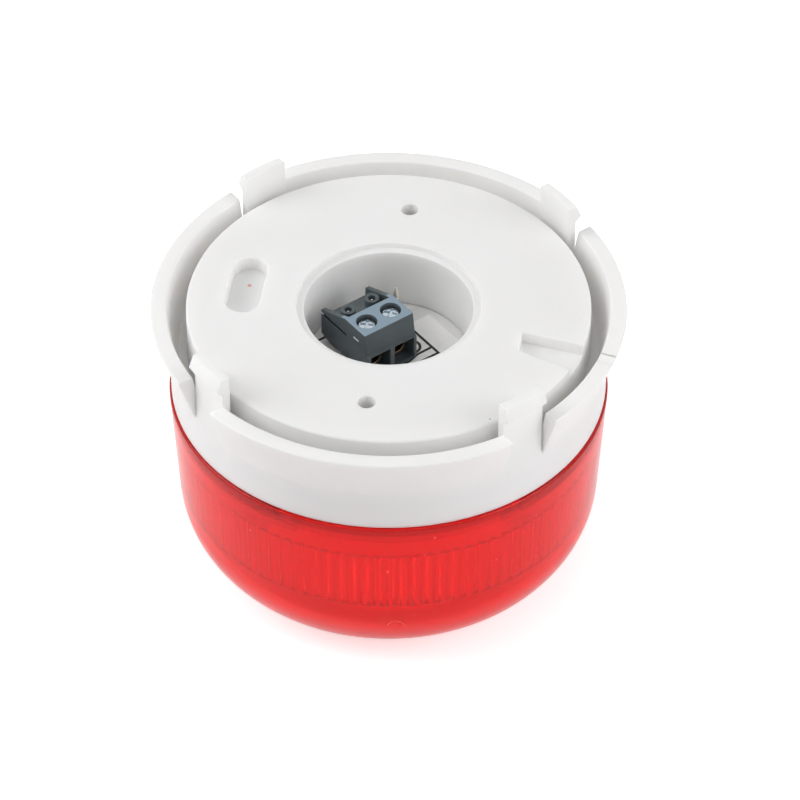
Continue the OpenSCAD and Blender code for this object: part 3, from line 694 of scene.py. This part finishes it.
class BEACON_OT_lens(bpy.types.Operator):
    """Spins the red lens, and shapes its grooves and lugs"""

    bl_idname = "beacon.lens"
    bl_label = "Red lens"

    lip = 0.5 * MM
    inner_lip = 0.3 * MM
    crown_rings = (7 * MM, 14 * MM)
    side_rows = (20 * MM, 24.5 * MM, 29 * MM, 33 * MM)
    band_rows = (22 * MM, 26 * MM)
    columns = 8
    # Share of the groove's depth at each column, counted from the groove's middle
    groove_form = {0: 1.0, 1: 0.94, 2: 0.5, 3: 0.06}
    # Rise above the groove's foot in millimetres, and the share of the depth there
    groove_fade = ((0.1, 0.3), (0.35, 0.62), (0.75, 0.86), (1.3, 1.0))
    row_play = 2e-6
    crest_play = 5e-6
    socket_play = 20e-6

    def outline(self, sizes):
        """Half-section of the lens, from the crown's outside round to its inside."""
        radius = LENS_HIGH.x
        height = LENS_HIGH.z
        lean = math.degrees(sizes.draft)
        slope = math.tan(sizes.draft)
        corner = sizes.corner
        tangent = height - corner * (1 - math.sin(sizes.draft))
        centre = radius - tangent * slope - corner * math.cos(sizes.draft)
        lip, inner_lip = self.lip, self.inner_lip

        def side(z):
            return radius - (height - z) * slope

        bowl = side(sizes.foot) - sizes.wall / math.cos(sizes.draft)
        self.crest = bowl + sizes.ledge
        self.socket = socket = radius - sizes.edge_wall
        fade = [sizes.foot + rise * MM for rise, _ in reversed(self.groove_fade)]
        points = [(r, 0) for r in (0, *self.crown_rings)]
        points += arc(centre, corner, corner, -90, -lean, steps=26)
        points += [(side(z), z) for z in self.side_rows]
        points += arc(side(height - lip) - lip, height - lip, lip, -lean, 90, steps=5)
        points += arc(socket + inner_lip, height - inner_lip, inner_lip, 90, 180, steps=4)
        points += [(socket, z) for z in (sizes.lug_high, sizes.lug_low, sizes.step)]
        points += [(self.crest, z) for z in (sizes.step, *reversed(self.band_rows), *fade, sizes.foot)]
        points.append((bowl, sizes.foot))
        points += arc(centre, corner, corner - sizes.wall, -lean, -90, steps=20)
        points += [(r, sizes.wall) for r in (*reversed(self.crown_rings), 0)]
        return points

    def groove(self, sizes, count):
        """Presses the grooves into the fluted band, with their lower ends faded out."""
        rows = [(sizes.foot + rise * MM, share) for rise, share in self.groove_fade]
        rows += [(z, 1.0) for z in (*self.band_rows, sizes.step)]
        for share in sorted({share for _, share in rows}):
            heights = [z for z, kept in rows if kept == share]
            for offset, form in self.groove_form.items():
                phases = {offset, (-offset) % self.columns}

                def in_groove(vertex):
                    point = vertex.co
                    turn = round(math.atan2(point.y, point.x) / (2 * math.pi) * count) % self.columns
                    on_row = any(near(point.z, z, self.row_play) for z in heights)
                    return on_row and turn in phases and near(along(point), self.crest, self.crest_play)

                choose("VERT", in_groove)
                grow = 1 + sizes.groove * share * form / self.crest
                bpy.ops.transform.resize(value=(grow, grow, 1), center_override=(0, 0, 0))

    def lugs(self, sizes):
        """Draws the lugs inwards from the socket's wall."""
        def on_lug(face):
            point = face.calc_center_median()
            turn = math.atan2(point.y, point.x) - sizes.lug_middle
            pitch = 2 * math.pi / sizes.lugs
            turn = (turn + pitch / 2) % pitch - pitch / 2
            on_wall = near(along(point), self.socket, self.socket_play)
            return on_wall and sizes.lug_low < point.z < sizes.lug_high and abs(turn) < sizes.lug_span / 2

        choose("FACE", on_lug)
        bpy.ops.mesh.extrude_region_move(TRANSFORM_OT_translate={"value": (0, 0, 0)})
        shrink = sizes.lug_bore / self.socket
        bpy.ops.transform.resize(value=(shrink, shrink, 1), center_override=(0, 0, 0))

    def execute(self, context):
        sizes = context.scene.beacon_lens
        count = sizes.grooves * self.columns
        obj = spun("lens_shell", self.outline(sizes), steps=count)
        edit(obj)
        self.groove(sizes, count)
        self.lugs(sizes)
        done()
        smooth(obj, limit=32)
        hand_in(obj, "lens_cap", clear_red(sizes.red), "red_lens", "lens")
        return {"FINISHED"}


class BEACON_OT_seal(bpy.types.Operator):
    """Spins the seal ring, with the faint moulding line round it"""

    bl_idname = "beacon.seal"
    bl_label = "Seal ring"

    mould_line = 0.03 * MM

    def execute(self, context):
        radius = (SEAL_HIGH.z - SEAL_LOW.z) / 2
        middle = SEAL_HIGH.x - radius
        height = (SEAL_HIGH.z + SEAL_LOW.z) / 2
        outline = arc(middle, height, radius, 6, 174, steps=14)
        outline.append((middle - radius - self.mould_line, height))
        outline += arc(middle, height, radius, 186, 354, steps=14)
        outline.append((middle + radius + self.mould_line, height))
        obj = spun("seal_ring", outline, steps=180, close=True)
        smooth(obj, limit=40)
        tint = context.scene.beacon_lens.seal
        rubber = plastic("Seal rubber", tint, shade=0.8, roughness=0.7, grain=2500, relief=0.3)
        hand_in(obj, "base", rubber, "seal_rubber", "lens_seal")
        return {"FINISHED"}


def screw_place(index):
    """Place of a board screw."""
    return polar(27, 45 + 90 * index)


def post_place():
    """Place of the test post."""
    return polar(11.3, 92)


def leg_place(side):
    """Place of a terminal's solder leg on the board."""
    spot = AT_TERMINAL @ Vector((side * HALF_PITCH, 2.7 * MM, 0))
    return spot.x, spot.y


class BEACON_OT_board(bpy.types.Operator):
    """Cuts the circuit board and lays the printed lines on it"""

    bl_idname = "beacon.board"
    bl_label = "Circuit board"

    screw_hole = 1.5 * MM
    pin_hole = 0.75 * MM
    post_hole = 0.68 * MM
    ring_place = (6.45, -0.65)
    ring_radius = 1.64 * MM

    def panel(self, settings):
        """The round board with its holes."""
        obj = rod("board_panel", BOARD_HIGH.x, BOARD_LOW.z, BOARD_HIGH.z, sides=160)
        low = BOARD_LOW.z - MM
        high = BOARD_HIGH.z + MM
        drills = [rod("drill", self.screw_hole, low, high, screw_place(i)) for i in range(4)]
        drills += [rod("drill", self.pin_hole, low, high, leg_place(side)) for side in (-1, 1)]
        drills.append(rod("drill", self.post_hole, low, high, post_place()))
        combine(obj, joined("drills", drills), "DIFFERENCE")
        return eased(obj, settings.edge)

    def line(self, settings, start, end):
        """A printed line between two places of the terminal's own frame."""
        a, b = Vector(start) * MM, Vector(end) * MM
        width = settings.print_width
        size = (abs(b.x - a.x) + width, abs(b.y - a.y) + width, settings.print_height)
        centre = ((a.x + b.x) / 2, (a.y + b.y) / 2, settings.print_height / 2)
        obj = block("line", size, centre)
        soften(obj, settings.print_height / 3, segments=1)
        return obj

    def ring(self, settings):
        """The printed circle in the terminal's own frame."""
        inner = self.ring_radius - settings.print_width / 2
        outer = self.ring_radius + settings.print_width / 2
        top = settings.print_height
        obj = spun("ring", [(inner, 0), (inner, top), (outer, top), (outer, 0)], steps=72, close=True)
        return placed(obj, Matrix.Translation((*(place * MM for place in self.ring_place), 0)))

    def lines(self, settings):
        """The printed frame round the block, drawn in millimetres of the terminal's own frame."""
        left, right, front, inner, back = -5.8, 9.4, -4.75, -2.9, 10.3
        gap = 0.46
        runs = (
            ((left, front), (right, front)),
            ((right, front + gap), (right, back)),
            ((left, front + gap), (left, back)),
            ((left + gap, back), (right - gap, back)),
            ((left + gap, inner), (right - gap, inner)),
        )
        return [self.line(settings, start, end) for start, end in runs]

    def execute(self, context):
        settings = context.scene.beacon_board
        hand_in(self.panel(settings), "base", board_lacquer(settings.mask), "board", "circuit_board")
        printed = [*self.lines(settings), self.ring(settings)]
        obj = placed(joined("board_print", printed), AT_TERMINAL)
        ink = plastic("Printed ink", settings.ink, shade=0.7, roughness=0.55, grain=6000)
        hand_in(obj, "base", ink, "chip_package")
        return {"FINISHED"}


def spindle(name, crest, low, high):
    """A threaded rod on Z between two heights."""
    pitch = 0.36 * crest
    root = crest - 0.45 * pitch
    steps = 24
    # One turn's radii and rises, started off the pitch so that no corner lies on a cutting plane
    form = ((root, 0), (root, 0.2), (crest, 0.45), (crest, 0.6), (root, 0.85), (root, 1))
    start = low - 1.313 * pitch
    obj = drawn(name, [Vector((radius, 0, start + rise * pitch)) for radius, rise in form])
    done()
    turns = math.ceil((high - low) / pitch) + 3
    apply(obj, "SCREW", angle=2 * math.pi, screw_offset=pitch, iterations=turns, steps=steps,
          render_steps=steps, axis="Z")
    edit(obj)
    bpy.ops.mesh.remove_doubles(threshold=MERGE)
    for height, way in ((high, 1), (low, -1)):
        bpy.ops.mesh.select_all(action="SELECT")
        bpy.ops.mesh.bisect(plane_co=(0, 0, height), plane_no=(0, 0, way), use_fill=True, clear_outer=True,
                            threshold=MERGE)
    tidy()
    done()
    return obj


def screw(name, head, height, crown, thread, reach, slot, depth, span):
    """A cross-slotted screw on Z with its head's top at zero."""
    edge = min(0.35 * height, 0.2 * MM)
    chamfer = 0.1 * MM
    core = thread * 0.8
    core_foot = -height - 0.3 * MM
    outline = [(0, 0), (head * 0.6, -crown * 0.35)]
    outline += arc(head - edge, -crown - edge, edge, 75, 0, steps=4)
    outline += [(head, -height + chamfer), (head - chamfer, -height), (core, -height), (core, core_foot),
                (0, core_foot)]
    obj = spun(name, outline, steps=72)
    for size in ((2 * span, slot, 2 * depth), (slot, 2 * span, 2 * depth)):
        combine(obj, block("cut", size, (0, 0, 0)), "DIFFERENCE")
    soften(obj, 0.05 * MM)
    combine(obj, spindle("rod", thread, -height - reach, -height + chamfer), "UNION")
    smooth(obj, limit=40)
    return obj


class BEACON_OT_board_screws(bpy.types.Operator):
    """Models one board screw and copies it to the board's posts"""

    bl_idname = "beacon.board_screws"
    bl_label = "Board screws"

    def execute(self, context):
        low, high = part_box("board_screws")
        one = screw("board_screw", head=2.6 * MM, height=BOARD_LOW.z - low.z, crown=0.45 * MM,
                    thread=1.3 * MM, reach=high.z - BOARD_LOW.z, slot=0.7 * MM, depth=1.1 * MM, span=1.4 * MM)
        places = [Matrix.Translation((*screw_place(i), low.z)) @ TURNED_OVER for i in range(4)]
        obj = repeated("board_fasteners", one, places)
        zinc = metal("Zinc on steel", context.scene.beacon_terminal.zinc, (0.5, 0.5, 0.47), roughness=0.28)
        hand_in(obj, "base", zinc, "zinc_steel", "board_screws")
        return {"FINISHED"}


class BEACON_OT_lights(bpy.types.Operator):
    """Models one light-emitting diode and copies it round the board's lens side"""

    bl_idname = "beacon.lights"
    bl_label = "Light-emitting diodes"

    count = 12
    reach = 23 * MM
    side = 5 * MM
    narrow = 0.92
    taper = 0.95
    window = 1.9 * MM
    bowl_depth = 0.45 * MM

    def places(self):
        """Each diode's place, with its window facing the lens."""
        out = Matrix.Translation((self.reach, 0, LED_HIGH.z)) @ TURNED_OVER
        for index in range(self.count):
            yield Matrix.Rotation(2 * math.pi * index / self.count, 4, "Z") @ out

    def body(self, tall):
        """The white package with the bowl for the light."""
        obj = block("diode", (self.side * self.narrow, self.side, tall), (0, 0, tall / 2))
        edit(obj)
        choose("FACE", lambda face: face.normal.z > 0.9)
        bpy.ops.transform.resize(value=(self.taper, self.taper, 1))
        done()
        floor = tall - self.bowl_depth
        above = tall + 0.05 * MM
        outline = [(0, floor), (self.window - 0.35 * MM, floor), (self.window, above), (0, above)]
        combine(obj, spun("bowl", outline, steps=40), "DIFFERENCE")
        soften(obj, 0.08 * MM)
        smooth(obj)
        return obj

    def gel(self, tall):
        """The yellow filling of the bowl, a little domed."""
        floor = tall - 0.5 * MM
        outline = [(0, floor), (self.window - 0.3 * MM, floor), (self.window - 0.05 * MM, tall - 0.07 * MM),
                   (self.window * 0.5, tall - 0.03 * MM), (0, tall - 0.02 * MM)]
        obj = spun("gel", outline, steps=40)
        smooth(obj)
        return obj

    def feet(self):
        """Three solder feet on each of two sides."""
        out = self.side * self.narrow / 2 + 0.06 * MM
        centres = [(way * out, shift * MM, 0.45 * MM) for way in (-1, 1) for shift in (-1.5, 0, 1.5)]
        return rounded_blocks("foot", (0.35 * MM, 0.8 * MM, 0.9 * MM), centres, 0.08 * MM)

    def execute(self, context):
        tall = LED_HIGH.z - LED_LOW.z
        white = plastic("Diode body", (0.86, 0.84, 0.78), shade=0.95, roughness=0.35)
        tint = context.scene.beacon_board.phosphor
        yellow = plastic("Phosphor", tint, shade=0.8, roughness=0.25, mottle=900)
        bodies = repeated("diode_bodies", self.body(tall), self.places())
        hand_in(bodies, "base", white, "led_package", "leds")
        hand_in(repeated("diode_windows", self.gel(tall), self.places()), "base", yellow, "led_package")
        hand_in_tinned(repeated("diode_feet", self.feet(), self.places()))
        return {"FINISHED"}


class BEACON_OT_circuit(bpy.types.Operator):
    """Models the capacitor, the coil, the chips, the resistors and the test post"""

    bl_idname = "beacon.circuit"
    bl_label = "Circuit parts"

    # Reach and angle on the board, and whether a part stands on the board's back side
    capacitor_spot = (24, 22, True)
    coil_spot = (24, 200, True)
    # How much narrower a chip's plastic is than its packed block, in millimetres
    waist = 1.6
    # A chip's spot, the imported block's length, width and height in millimetres, the leads on a side, and
    # their pitch as a share of the length
    chips = {
        "rectifier": ((11, 140, False), 8.2, 6.4, 2.4, 2, 0.62),
        "driver_chip": ((11, 40, False), 4.9, 3.9, 1.6, 4, 0.26),
        "flash_controller": ((11, -50, False), 4.9, 3.9, 1.6, 4, 0.26),
        "surge_suppressor": ((24, -20, True), 4.4, 3.6, 2.2, 1, 0),
    }

    def spot(self, reach, degrees, upper):
        """A place on the board's back side, or turned over on its lens side."""
        turn = Matrix.Rotation(math.radians(degrees), 4, "Z")
        height = BOARD_HIGH.z if upper else BOARD_LOW.z
        over = Matrix.Identity(4) if upper else TURNED_OVER
        return turn @ Matrix.Translation((reach * MM, 0, height)) @ over

    def can(self):
        """The capacitor's aluminium can, with a groove round it and a scored top."""
        low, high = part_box("smoothing_capacitor")
        tall = high.z - low.z
        radius = 4 * MM
        waist = radius - 0.35 * MM
        foot = 0.8 * MM
        curl = 0.5 * MM
        top = tall - 0.12 * MM
        outline = [(0, foot), (radius - curl, foot), (radius, foot + curl), (radius, foot + 1.2 * MM),
                   (waist, foot + 1.5 * MM), (waist, foot + 1.8 * MM), (radius, foot + 2.1 * MM),
                   (radius, tall - curl)]
        outline += arc(radius - curl, tall - curl, curl, 15, 90, steps=4)
        outline += [(radius - 0.9 * MM, top), (0, top)]
        obj = spun("capacitor_can", outline, steps=72)
        for turn in (0, 60, 120):
            score = block("score", (5 * MM, 0.25 * MM, 0.2 * MM), (0, 0, 0))
            place = Matrix.Translation((0, 0, top)) @ Matrix.Rotation(math.radians(turn), 4, "Z")
            combine(obj, placed(score, place), "DIFFERENCE")
        smooth(obj, limit=30)
        return placed(obj, self.spot(*self.capacitor_spot))

    def seat(self):
        """The capacitor's square foot, with two corners cut off."""
        obj = block("capacitor_foot", (7.9 * MM, 7.9 * MM, 0.9 * MM), (0, 0, 0.45 * MM))
        edit(obj)
        choose("EDGE", lambda edge: upright(edge) and edge.verts[0].co.x > 0)
        bpy.ops.mesh.bevel(offset=1.4 * MM, segments=1)
        done()
        soften(obj, 0.1 * MM)
        smooth(obj)
        return placed(obj, self.spot(*self.capacitor_spot))

    def coil(self):
        """A square shielded coil with a round core in its top and two end terminals."""
        low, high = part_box("power_inductor")
        tall = high.z - low.z
        body = block("coil_core", (7.7 * MM, 8 * MM, tall), (0, 0, tall / 2))
        edit(body)
        choose("EDGE", upright)
        bpy.ops.mesh.bevel(offset=1 * MM, segments=4)
        done()
        inner, outer, floor, above = 2.7 * MM, 3.1 * MM, tall - 0.5 * MM, tall + MM
        outline = [(inner, floor), (outer, floor), (outer, above), (inner, above)]
        combine(body, spun("ring", outline, steps=48, close=True), "DIFFERENCE")
        soften(body, 0.12 * MM)
        smooth(body)
        place = self.spot(*self.coil_spot)
        placed(body, place)
        ferrite = plastic("Ferrite", (0.13, 0.13, 0.14), shade=0.75, roughness=0.6, grain=2200, relief=0.4)
        hand_in(body, "base", ferrite, "ferrite", "power_inductor")
        centres = [(way * 3.75 * MM, 0, 0.55 * MM) for way in (-1, 1)]
        tabs = rounded_blocks("coil_tabs", (0.5 * MM, 3 * MM, 1.1 * MM), centres, 0.15 * MM)
        hand_in_tinned(placed(tabs, place))

    def lead(self, width, wide, tall):
        """A gull-wing lead on the +Y side of a package."""
        thick = 0.2 * MM
        edge = wide / 2 - 0.25 * MM
        path = [(edge, tall * 0.5), (edge + 0.45 * MM, tall * 0.5), (edge + 0.65 * MM, thick / 2),
                (edge + 1.25 * MM, thick / 2)]
        obj = block("lead", (width, thick, thick), (0, *path[0]))
        edit(obj)
        choose("FACE", lambda face: face.normal.y > 0.9)
        for a, b in zip(path, path[1:]):
            step = (0, b[0] - a[0], b[1] - a[1])
            bpy.ops.mesh.extrude_region_move(TRANSFORM_OT_translate={"value": step})
        tidy()
        done()
        soften(obj, 0.04 * MM, segments=1)
        return obj

    def package(self, name, long, wide, tall):
        """A moulded package with a mould line and a corner dimple."""
        lift = 0.1 * MM
        draft = 0.35 * MM
        obj = block(name, (long, wide, tall - lift), (0, 0, (tall + lift) / 2))
        edit(obj)
        bpy.ops.mesh.bisect(plane_co=(0, 0, tall * 0.52), plane_no=(0, 0, 1), threshold=MERGE)
        for sign in (-1, 1):
            choose("FACE", lambda face: face.normal.z * sign > 0.9)
            bpy.ops.transform.resize(value=(1 - draft / long, 1 - draft / wide, 1))
        done()
        corner = (-long / 2 + 0.8 * MM, -wide / 2 + 0.75 * MM)
        dimple = rod("dimple", 0.35 * MM, tall - 0.08 * MM, tall + MM, corner, sides=24)
        combine(obj, dimple, "DIFFERENCE")
        soften(obj, 0.06 * MM, limit=30)
        smooth(obj, limit=25)
        return obj

    def chip(self, node):
        """A package with leads on two sides."""
        spot, long, wide, tall, count, pitch = self.chips[node]
        long, wide, tall = long * MM, (wide - self.waist) * MM, tall * MM
        place = self.spot(*spot)
        hand_in_package(placed(self.package(node + "_body", long, wide, tall), place), node)
        lead = self.lead(1.1 * MM if count < 4 else 0.42 * MM, wide, tall)
        shifts = [(i - (count - 1) / 2) * pitch * long for i in range(count)]
        turns = [Matrix.Identity(4), Matrix.Rotation(math.pi, 4, "Z")]
        spots = [place @ turn @ Matrix.Translation((shift, 0, 0)) for turn in turns for shift in shifts]
        row = repeated(node + "_leads", lead, spots)
        smooth(row)
        hand_in_tinned(row)

    def resistors(self):
        """Six chip resistors: a dark body and a metal cap at each end."""
        size = (1.5 * MM, 1.2 * MM, 0.46 * MM)
        body = rounded_blocks("resistor", size, [(0, 0, size[2] / 2)], 0.05 * MM)
        centres = [(way * 0.8 * MM, 0, 0.25 * MM) for way in (-1, 1)]
        caps = rounded_blocks("cap", (0.4 * MM, 1.25 * MM, 0.5 * MM), centres, 0.08 * MM)
        spots = [self.spot(14, -130 + 10 * i, False) for i in range(6)]
        hand_in_package(repeated("resistor_bodies", body, spots), "chip_resistors")
        hand_in_tinned(repeated("resistor_caps", caps, spots))

    def post(self):
        """The test post: a turned pin with a fine groove and a pointed tip."""
        low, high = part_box("test_post")
        radius = 0.6 * MM
        waist = radius - 0.08 * MM
        chamfer = 0.1 * MM
        top = high.z - low.z
        neck = top - 1.6 * MM
        outline = [(0, 0), (radius - chamfer, 0), (radius, chamfer), (radius, neck - 0.7 * MM),
                   (waist, neck - 0.6 * MM), (waist, neck - 0.45 * MM), (radius, neck - 0.35 * MM),
                   (radius, neck), (0.12 * MM, top - 0.1 * MM), (0, top)]
        pin = spun("test_pin", outline, steps=40)
        smooth(pin, limit=30)
        placed(pin, Matrix.Translation((*post_place(), low.z)))
        dull = metal("Dull tin", (0.86, 0.83, 0.77), (0.5, 0.45, 0.37), roughness=0.5, scale=1100)
        hand_in(pin, "base", dull, "tinned_metal", "test_post")

    def solder(self):
        """Solder cones round the post and the terminal's legs."""
        bore = 0.45 * MM
        cones = []
        for place, radius, height in (
            (post_place(), 1.15 * MM, 0.7 * MM),
            (leg_place(-1), 1.3 * MM, 1.0 * MM),
            (leg_place(1), 1.3 * MM, 1.0 * MM),
        ):
            outline = [(bore, 0), (radius, 0), (radius * 0.7, height * 0.2), (0.62 * MM, height * 0.6),
                       (0.55 * MM, height), (bore, height)]
            cone = spun("cone", outline, steps=40, close=True)
            smooth(cone, limit=60)
            cones.append(placed(cone, Matrix.Translation((*place, BOARD_LOW.z)) @ TURNED_OVER))
        obj = joined("solder_joints", cones)
        solder = metal("Solder", (0.7, 0.71, 0.7), (0.5, 0.5, 0.49), roughness=0.25, scale=1400)
        hand_in(obj, "base", solder, "tinned_metal")

    def execute(self, context):
        tint = context.scene.beacon_board.package
        plastic("Chip package", tint, shade=0.7, roughness=0.5, grain=5000, mottle=400)
        bright = metal("Aluminium can", (0.72, 0.73, 0.75), (0.55, 0.55, 0.56), roughness=0.3, scale=500)
        hand_in(self.can(), "base", bright, "can_metal", "smoothing_capacitor")
        hand_in_package(self.seat())
        self.coil()
        for node in self.chips:
            self.chip(node)
        self.resistors()
        self.post()
        self.solder()
        return {"FINISHED"}


class BEACON_OT_terminal(bpy.types.Operator):
    """Models the terminal block, its contacts, cages and screws"""

    bl_idname = "beacon.terminal"
    bl_label = "Terminal block"

    slot_turns = {1: 45, 2: 35}
    bar_edge = 0.06 * MM
    cage_edge = 0.1 * MM
    head_height = 1.5 * MM

    def pins(self):
        """The bright contact pins in the two test sockets."""
        radius = 0.24 * MM
        tip = 2.2 * MM
        outline = [(0, 0), (radius, 0), (radius, tip - 0.2 * MM), (radius - 0.1 * MM, tip - 0.05 * MM),
                   (0, tip)]
        one = spun("pin", outline, steps=24)
        smooth(one, limit=30)
        sockets = [Vector((side * HALF_PITCH, 5.4 * MM, 6.6 * MM)) for side in (-1, 1)]
        return repeated("socket_pins", one, [AT_TERMINAL @ Matrix.Translation(place) for place in sockets])

    def glint_bump(self):
        """A small bump on the block's end, coloured pale as a painted glint."""
        centre = Vector((-5.2, -0.5, 7.85)) * MM
        obj = block("gate_mark", (0.14 * MM, 1.5 * MM, 0.34 * MM), centre)
        edit(obj)
        bpy.ops.mesh.subdivide(number_cuts=2)
        choose("FACE", lambda face: face.normal.x < -0.9)
        bpy.ops.transform.resize(value=(1, 0.7, 0.5), center_override=centre)
        done()
        soften(obj, 0.03 * MM, limit=20)
        smooth(obj, limit=60)
        return placed(obj, AT_TERMINAL)

    def clamp_screw(self, number, node):
        """One terminal screw, with its slots turned as it was left."""
        low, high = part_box(node)
        obj = screw("clamp_screw_%d" % number, head=1.55 * MM, height=self.head_height, crown=0.12 * MM,
                    thread=1.2 * MM, reach=high.z - low.z - self.head_height, slot=0.5 * MM, depth=0.55 * MM,
                    span=1.2 * MM)
        spot = Matrix.Translation(((low.x + high.x) / 2, (low.y + high.y) / 2, high.z))
        turn = TERMINAL_TURN + math.radians(self.slot_turns[number])
        return placed(obj, spot @ Matrix.Rotation(turn, 4, "Z"))

    def execute(self, context):
        settings = context.scene.beacon_terminal
        grey = plastic("Terminal plastic", settings.plastic, shade=0.85, roughness=0.38, grain=3500,
                       mottle=250, relief=0.15, painted_sheen=settings.painted_sheen, painted_sheen_from=settings.painted_sheen_from)
        # Painted highlight: this pale colour on the small bump stands in for a glint of light on it
        pale = plastic("Gate mark", (0.62, 0.63, 0.62), shade=0.8, roughness=0.3)
        brass = metal("Brass", settings.brass, (0.36, 0.22, 0.1), roughness=0.3, scale=700)
        zinc = metal("Bright zinc", settings.zinc, (0.5, 0.53, 0.56), roughness=0.22, scale=1300)
        body = rounded_copy("terminal_body", "terminal_housing", settings.edge)
        hand_in(body, "base", grey, "terminal_plastic", "terminal_housing")
        bars = rounded_copy("contact_bars", "terminal_contacts", self.bar_edge)
        hand_in(bars, "base", brass, "contact_brass", "terminal_contacts")
        hand_in_tinned(self.pins())
        hand_in(self.glint_bump(), "base", pale, "terminal_plastic")
        for number in self.slot_turns:
            node = "terminal_screw_%d" % number
            hand_in(self.clamp_screw(number, node), "screw_%d" % number, zinc, "zinc_steel", node)
            node = "terminal_cage_%d" % number
            cage = rounded_copy("clamp_cage_%d" % number, node, self.cage_edge)
            hand_in(cage, "cage_%d" % number, brass, "contact_brass", node)
        return {"FINISHED"}


class BEACON_OT_stage(bpy.types.Operator):
    """Sets up the camera, the lamps, the white floor and the white surroundings"""

    bl_idname = "beacon.stage"
    bl_label = "Stage"

    sensor = 36
    near_clip = 0.01
    aim = Vector((0, 0, 0.04))
    floor_size = 6
    # Place and width of the lamp that each setting powers
    lamps = {
        "left": ((-0.68, -0.1, 0.56), 0.6),
        "right": ((0.74, -0.14, 0.44), 0.6),
        "top": ((0, -0.25, 0.95), 0.7),
    }

    def seen(self, tree, direct, gloss, through):
        """A strength for rays from the camera, from a gloss or through a clear piece, and none for others."""
        path = put(tree, "ShaderNodeLightPath").outputs
        relayed = figure(tree, "MAXIMUM", figure(tree, "MULTIPLY", path["Is Glossy Ray"], gloss),
                         figure(tree, "MULTIPLY", path["Is Transmission Ray"], through))
        return figure(tree, "MAXIMUM", figure(tree, "MULTIPLY", path["Is Camera Ray"], direct), relayed)

    def camera(self, settings):
        """The camera fitted to the picture."""
        bpy.ops.object.camera_add(location=settings.eye, rotation=settings.turn)
        camera = bpy.context.object
        camera.data.lens = settings.focal
        camera.data.sensor_width = self.sensor
        camera.data.clip_start = self.near_clip
        bpy.context.scene.camera = camera

    def lamp(self, name, power, place, size):
        """A square soft lamp that faces the beacon."""
        way = self.aim - Vector(place)
        turn = way.to_track_quat("-Z", "Y").to_euler()
        bpy.ops.object.light_add(type="AREA", location=place, rotation=turn)
        lamp = bpy.context.object
        lamp.name = name
        lamp.data.shape = "SQUARE"
        lamp.data.size = size
        lamp.data.energy = power

    def floor(self, settings):
        """A white sheet under the beacon that is seen as white but takes a shadow, and whose white seen
        through clear pieces is dimmed under the lens as a painted shadow.
        """
        bpy.ops.object.select_all(action="DESELECT")
        bpy.ops.mesh.primitive_plane_add(size=self.floor_size)
        obj = named("floor")
        material, tree, shader = finish("Floor")
        surface = place_group(tree, "Moulded grain", Grain=300, Mottle=8)
        pale = toned(settings.floor, 1.01)
        tone = shade_between(tree, surface.outputs["Patch"], settings.floor, pale)
        feed(tree, shader, "Base Color", tone)
        fix(shader, {"Roughness": 0.9, "Specular IOR Level": 0.1, "Emission Color": (1, 1, 1, 1)})
        # Painted shadow: the white that the floor adds through clear pieces is dimmed under the lens
        covered = settings.through * settings.covered
        through = spread(tree, distance_to(tree, (0, 0, 0)), 0.6 * LENS_HIGH.x, 1.3 * LENS_HIGH.x, covered,
                         settings.through)
        feed(tree, shader, "Emission Strength", self.seen(tree, settings.glow, settings.sheen, through))
        obj.data.materials.append(material)

    def surroundings(self, settings):
        """White all round, dimmer as a lamp than as a background."""
        world = bpy.data.worlds.new("Surroundings")
        bpy.context.scene.world = world
        world.use_nodes = True
        tree = world.node_tree
        back = axis_of(tree, put(tree, "ShaderNodeTexCoord").outputs["Generated"], "Y")
        dim, bright = settings.ambient - settings.lean, settings.ambient + settings.lean
        lit = spread(tree, back, -1, 1, dim, bright)
        strength = figure(tree, "MAXIMUM", lit, self.seen(tree, 1, 1, 1))
        feed(tree, tree.nodes["Background"], "Strength", strength)
        fix(tree.nodes["Background"], {"Color": (1, 1, 1, 1)})

    def execute(self, context):
        settings = context.scene.beacon_stage
        context.scene.view_settings.view_transform = "Standard"
        self.camera(settings)
        for name, (place, size) in self.lamps.items():
            self.lamp(name + "_lamp", getattr(settings, name), place, size)
        self.floor(settings)
        self.surroundings(settings)
        return {"FINISHED"}


class BEACON_PT_panel(bpy.types.Panel):
    """Lists the steps that build the beacon"""

    bl_idname = "BEACON_PT_panel"
    bl_label = "Warning beacon"
    bl_space_type = "VIEW_3D"
    bl_region_type = "UI"
    bl_category = "Beacon"

    def draw(self, context):
        for operator in OPERATORS:
            self.layout.operator(operator.bl_idname)


OPERATORS = (
    BEACON_OT_stage,
    BEACON_OT_base,
    BEACON_OT_lens,
    BEACON_OT_seal,
    BEACON_OT_board,
    BEACON_OT_board_screws,
    BEACON_OT_lights,
    BEACON_OT_circuit,
    BEACON_OT_terminal,
)


def register():
    """Registers the settings, the operators and the panel."""
    for cls in (*SETTINGS.values(), *OPERATORS, BEACON_PT_panel):
        bpy.utils.register_class(cls)
    for name, cls in SETTINGS.items():
        setattr(bpy.types.Scene, name, PointerProperty(type=cls))


def unregister():
    """Removes what register() added."""
    for name in SETTINGS:
        delattr(bpy.types.Scene, name)
    for cls in reversed((*SETTINGS.values(), *OPERATORS, BEACON_PT_panel)):
        bpy.utils.unregister_class(cls)


def main():
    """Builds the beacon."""
    register()
    make_groups()
    metal("Tinned metal", (0.74, 0.74, 0.71), (0.55, 0.54, 0.5), roughness=0.25, scale=1500)
    bpy.ops.beacon.stage()
    bpy.ops.beacon.base()
    bpy.ops.beacon.lens()
    bpy.ops.beacon.seal()
    bpy.ops.beacon.board()
    bpy.ops.beacon.board_screws()
    bpy.ops.beacon.lights()
    bpy.ops.beacon.circuit()
    bpy.ops.beacon.terminal()


if __name__ == "__main__":
    main()
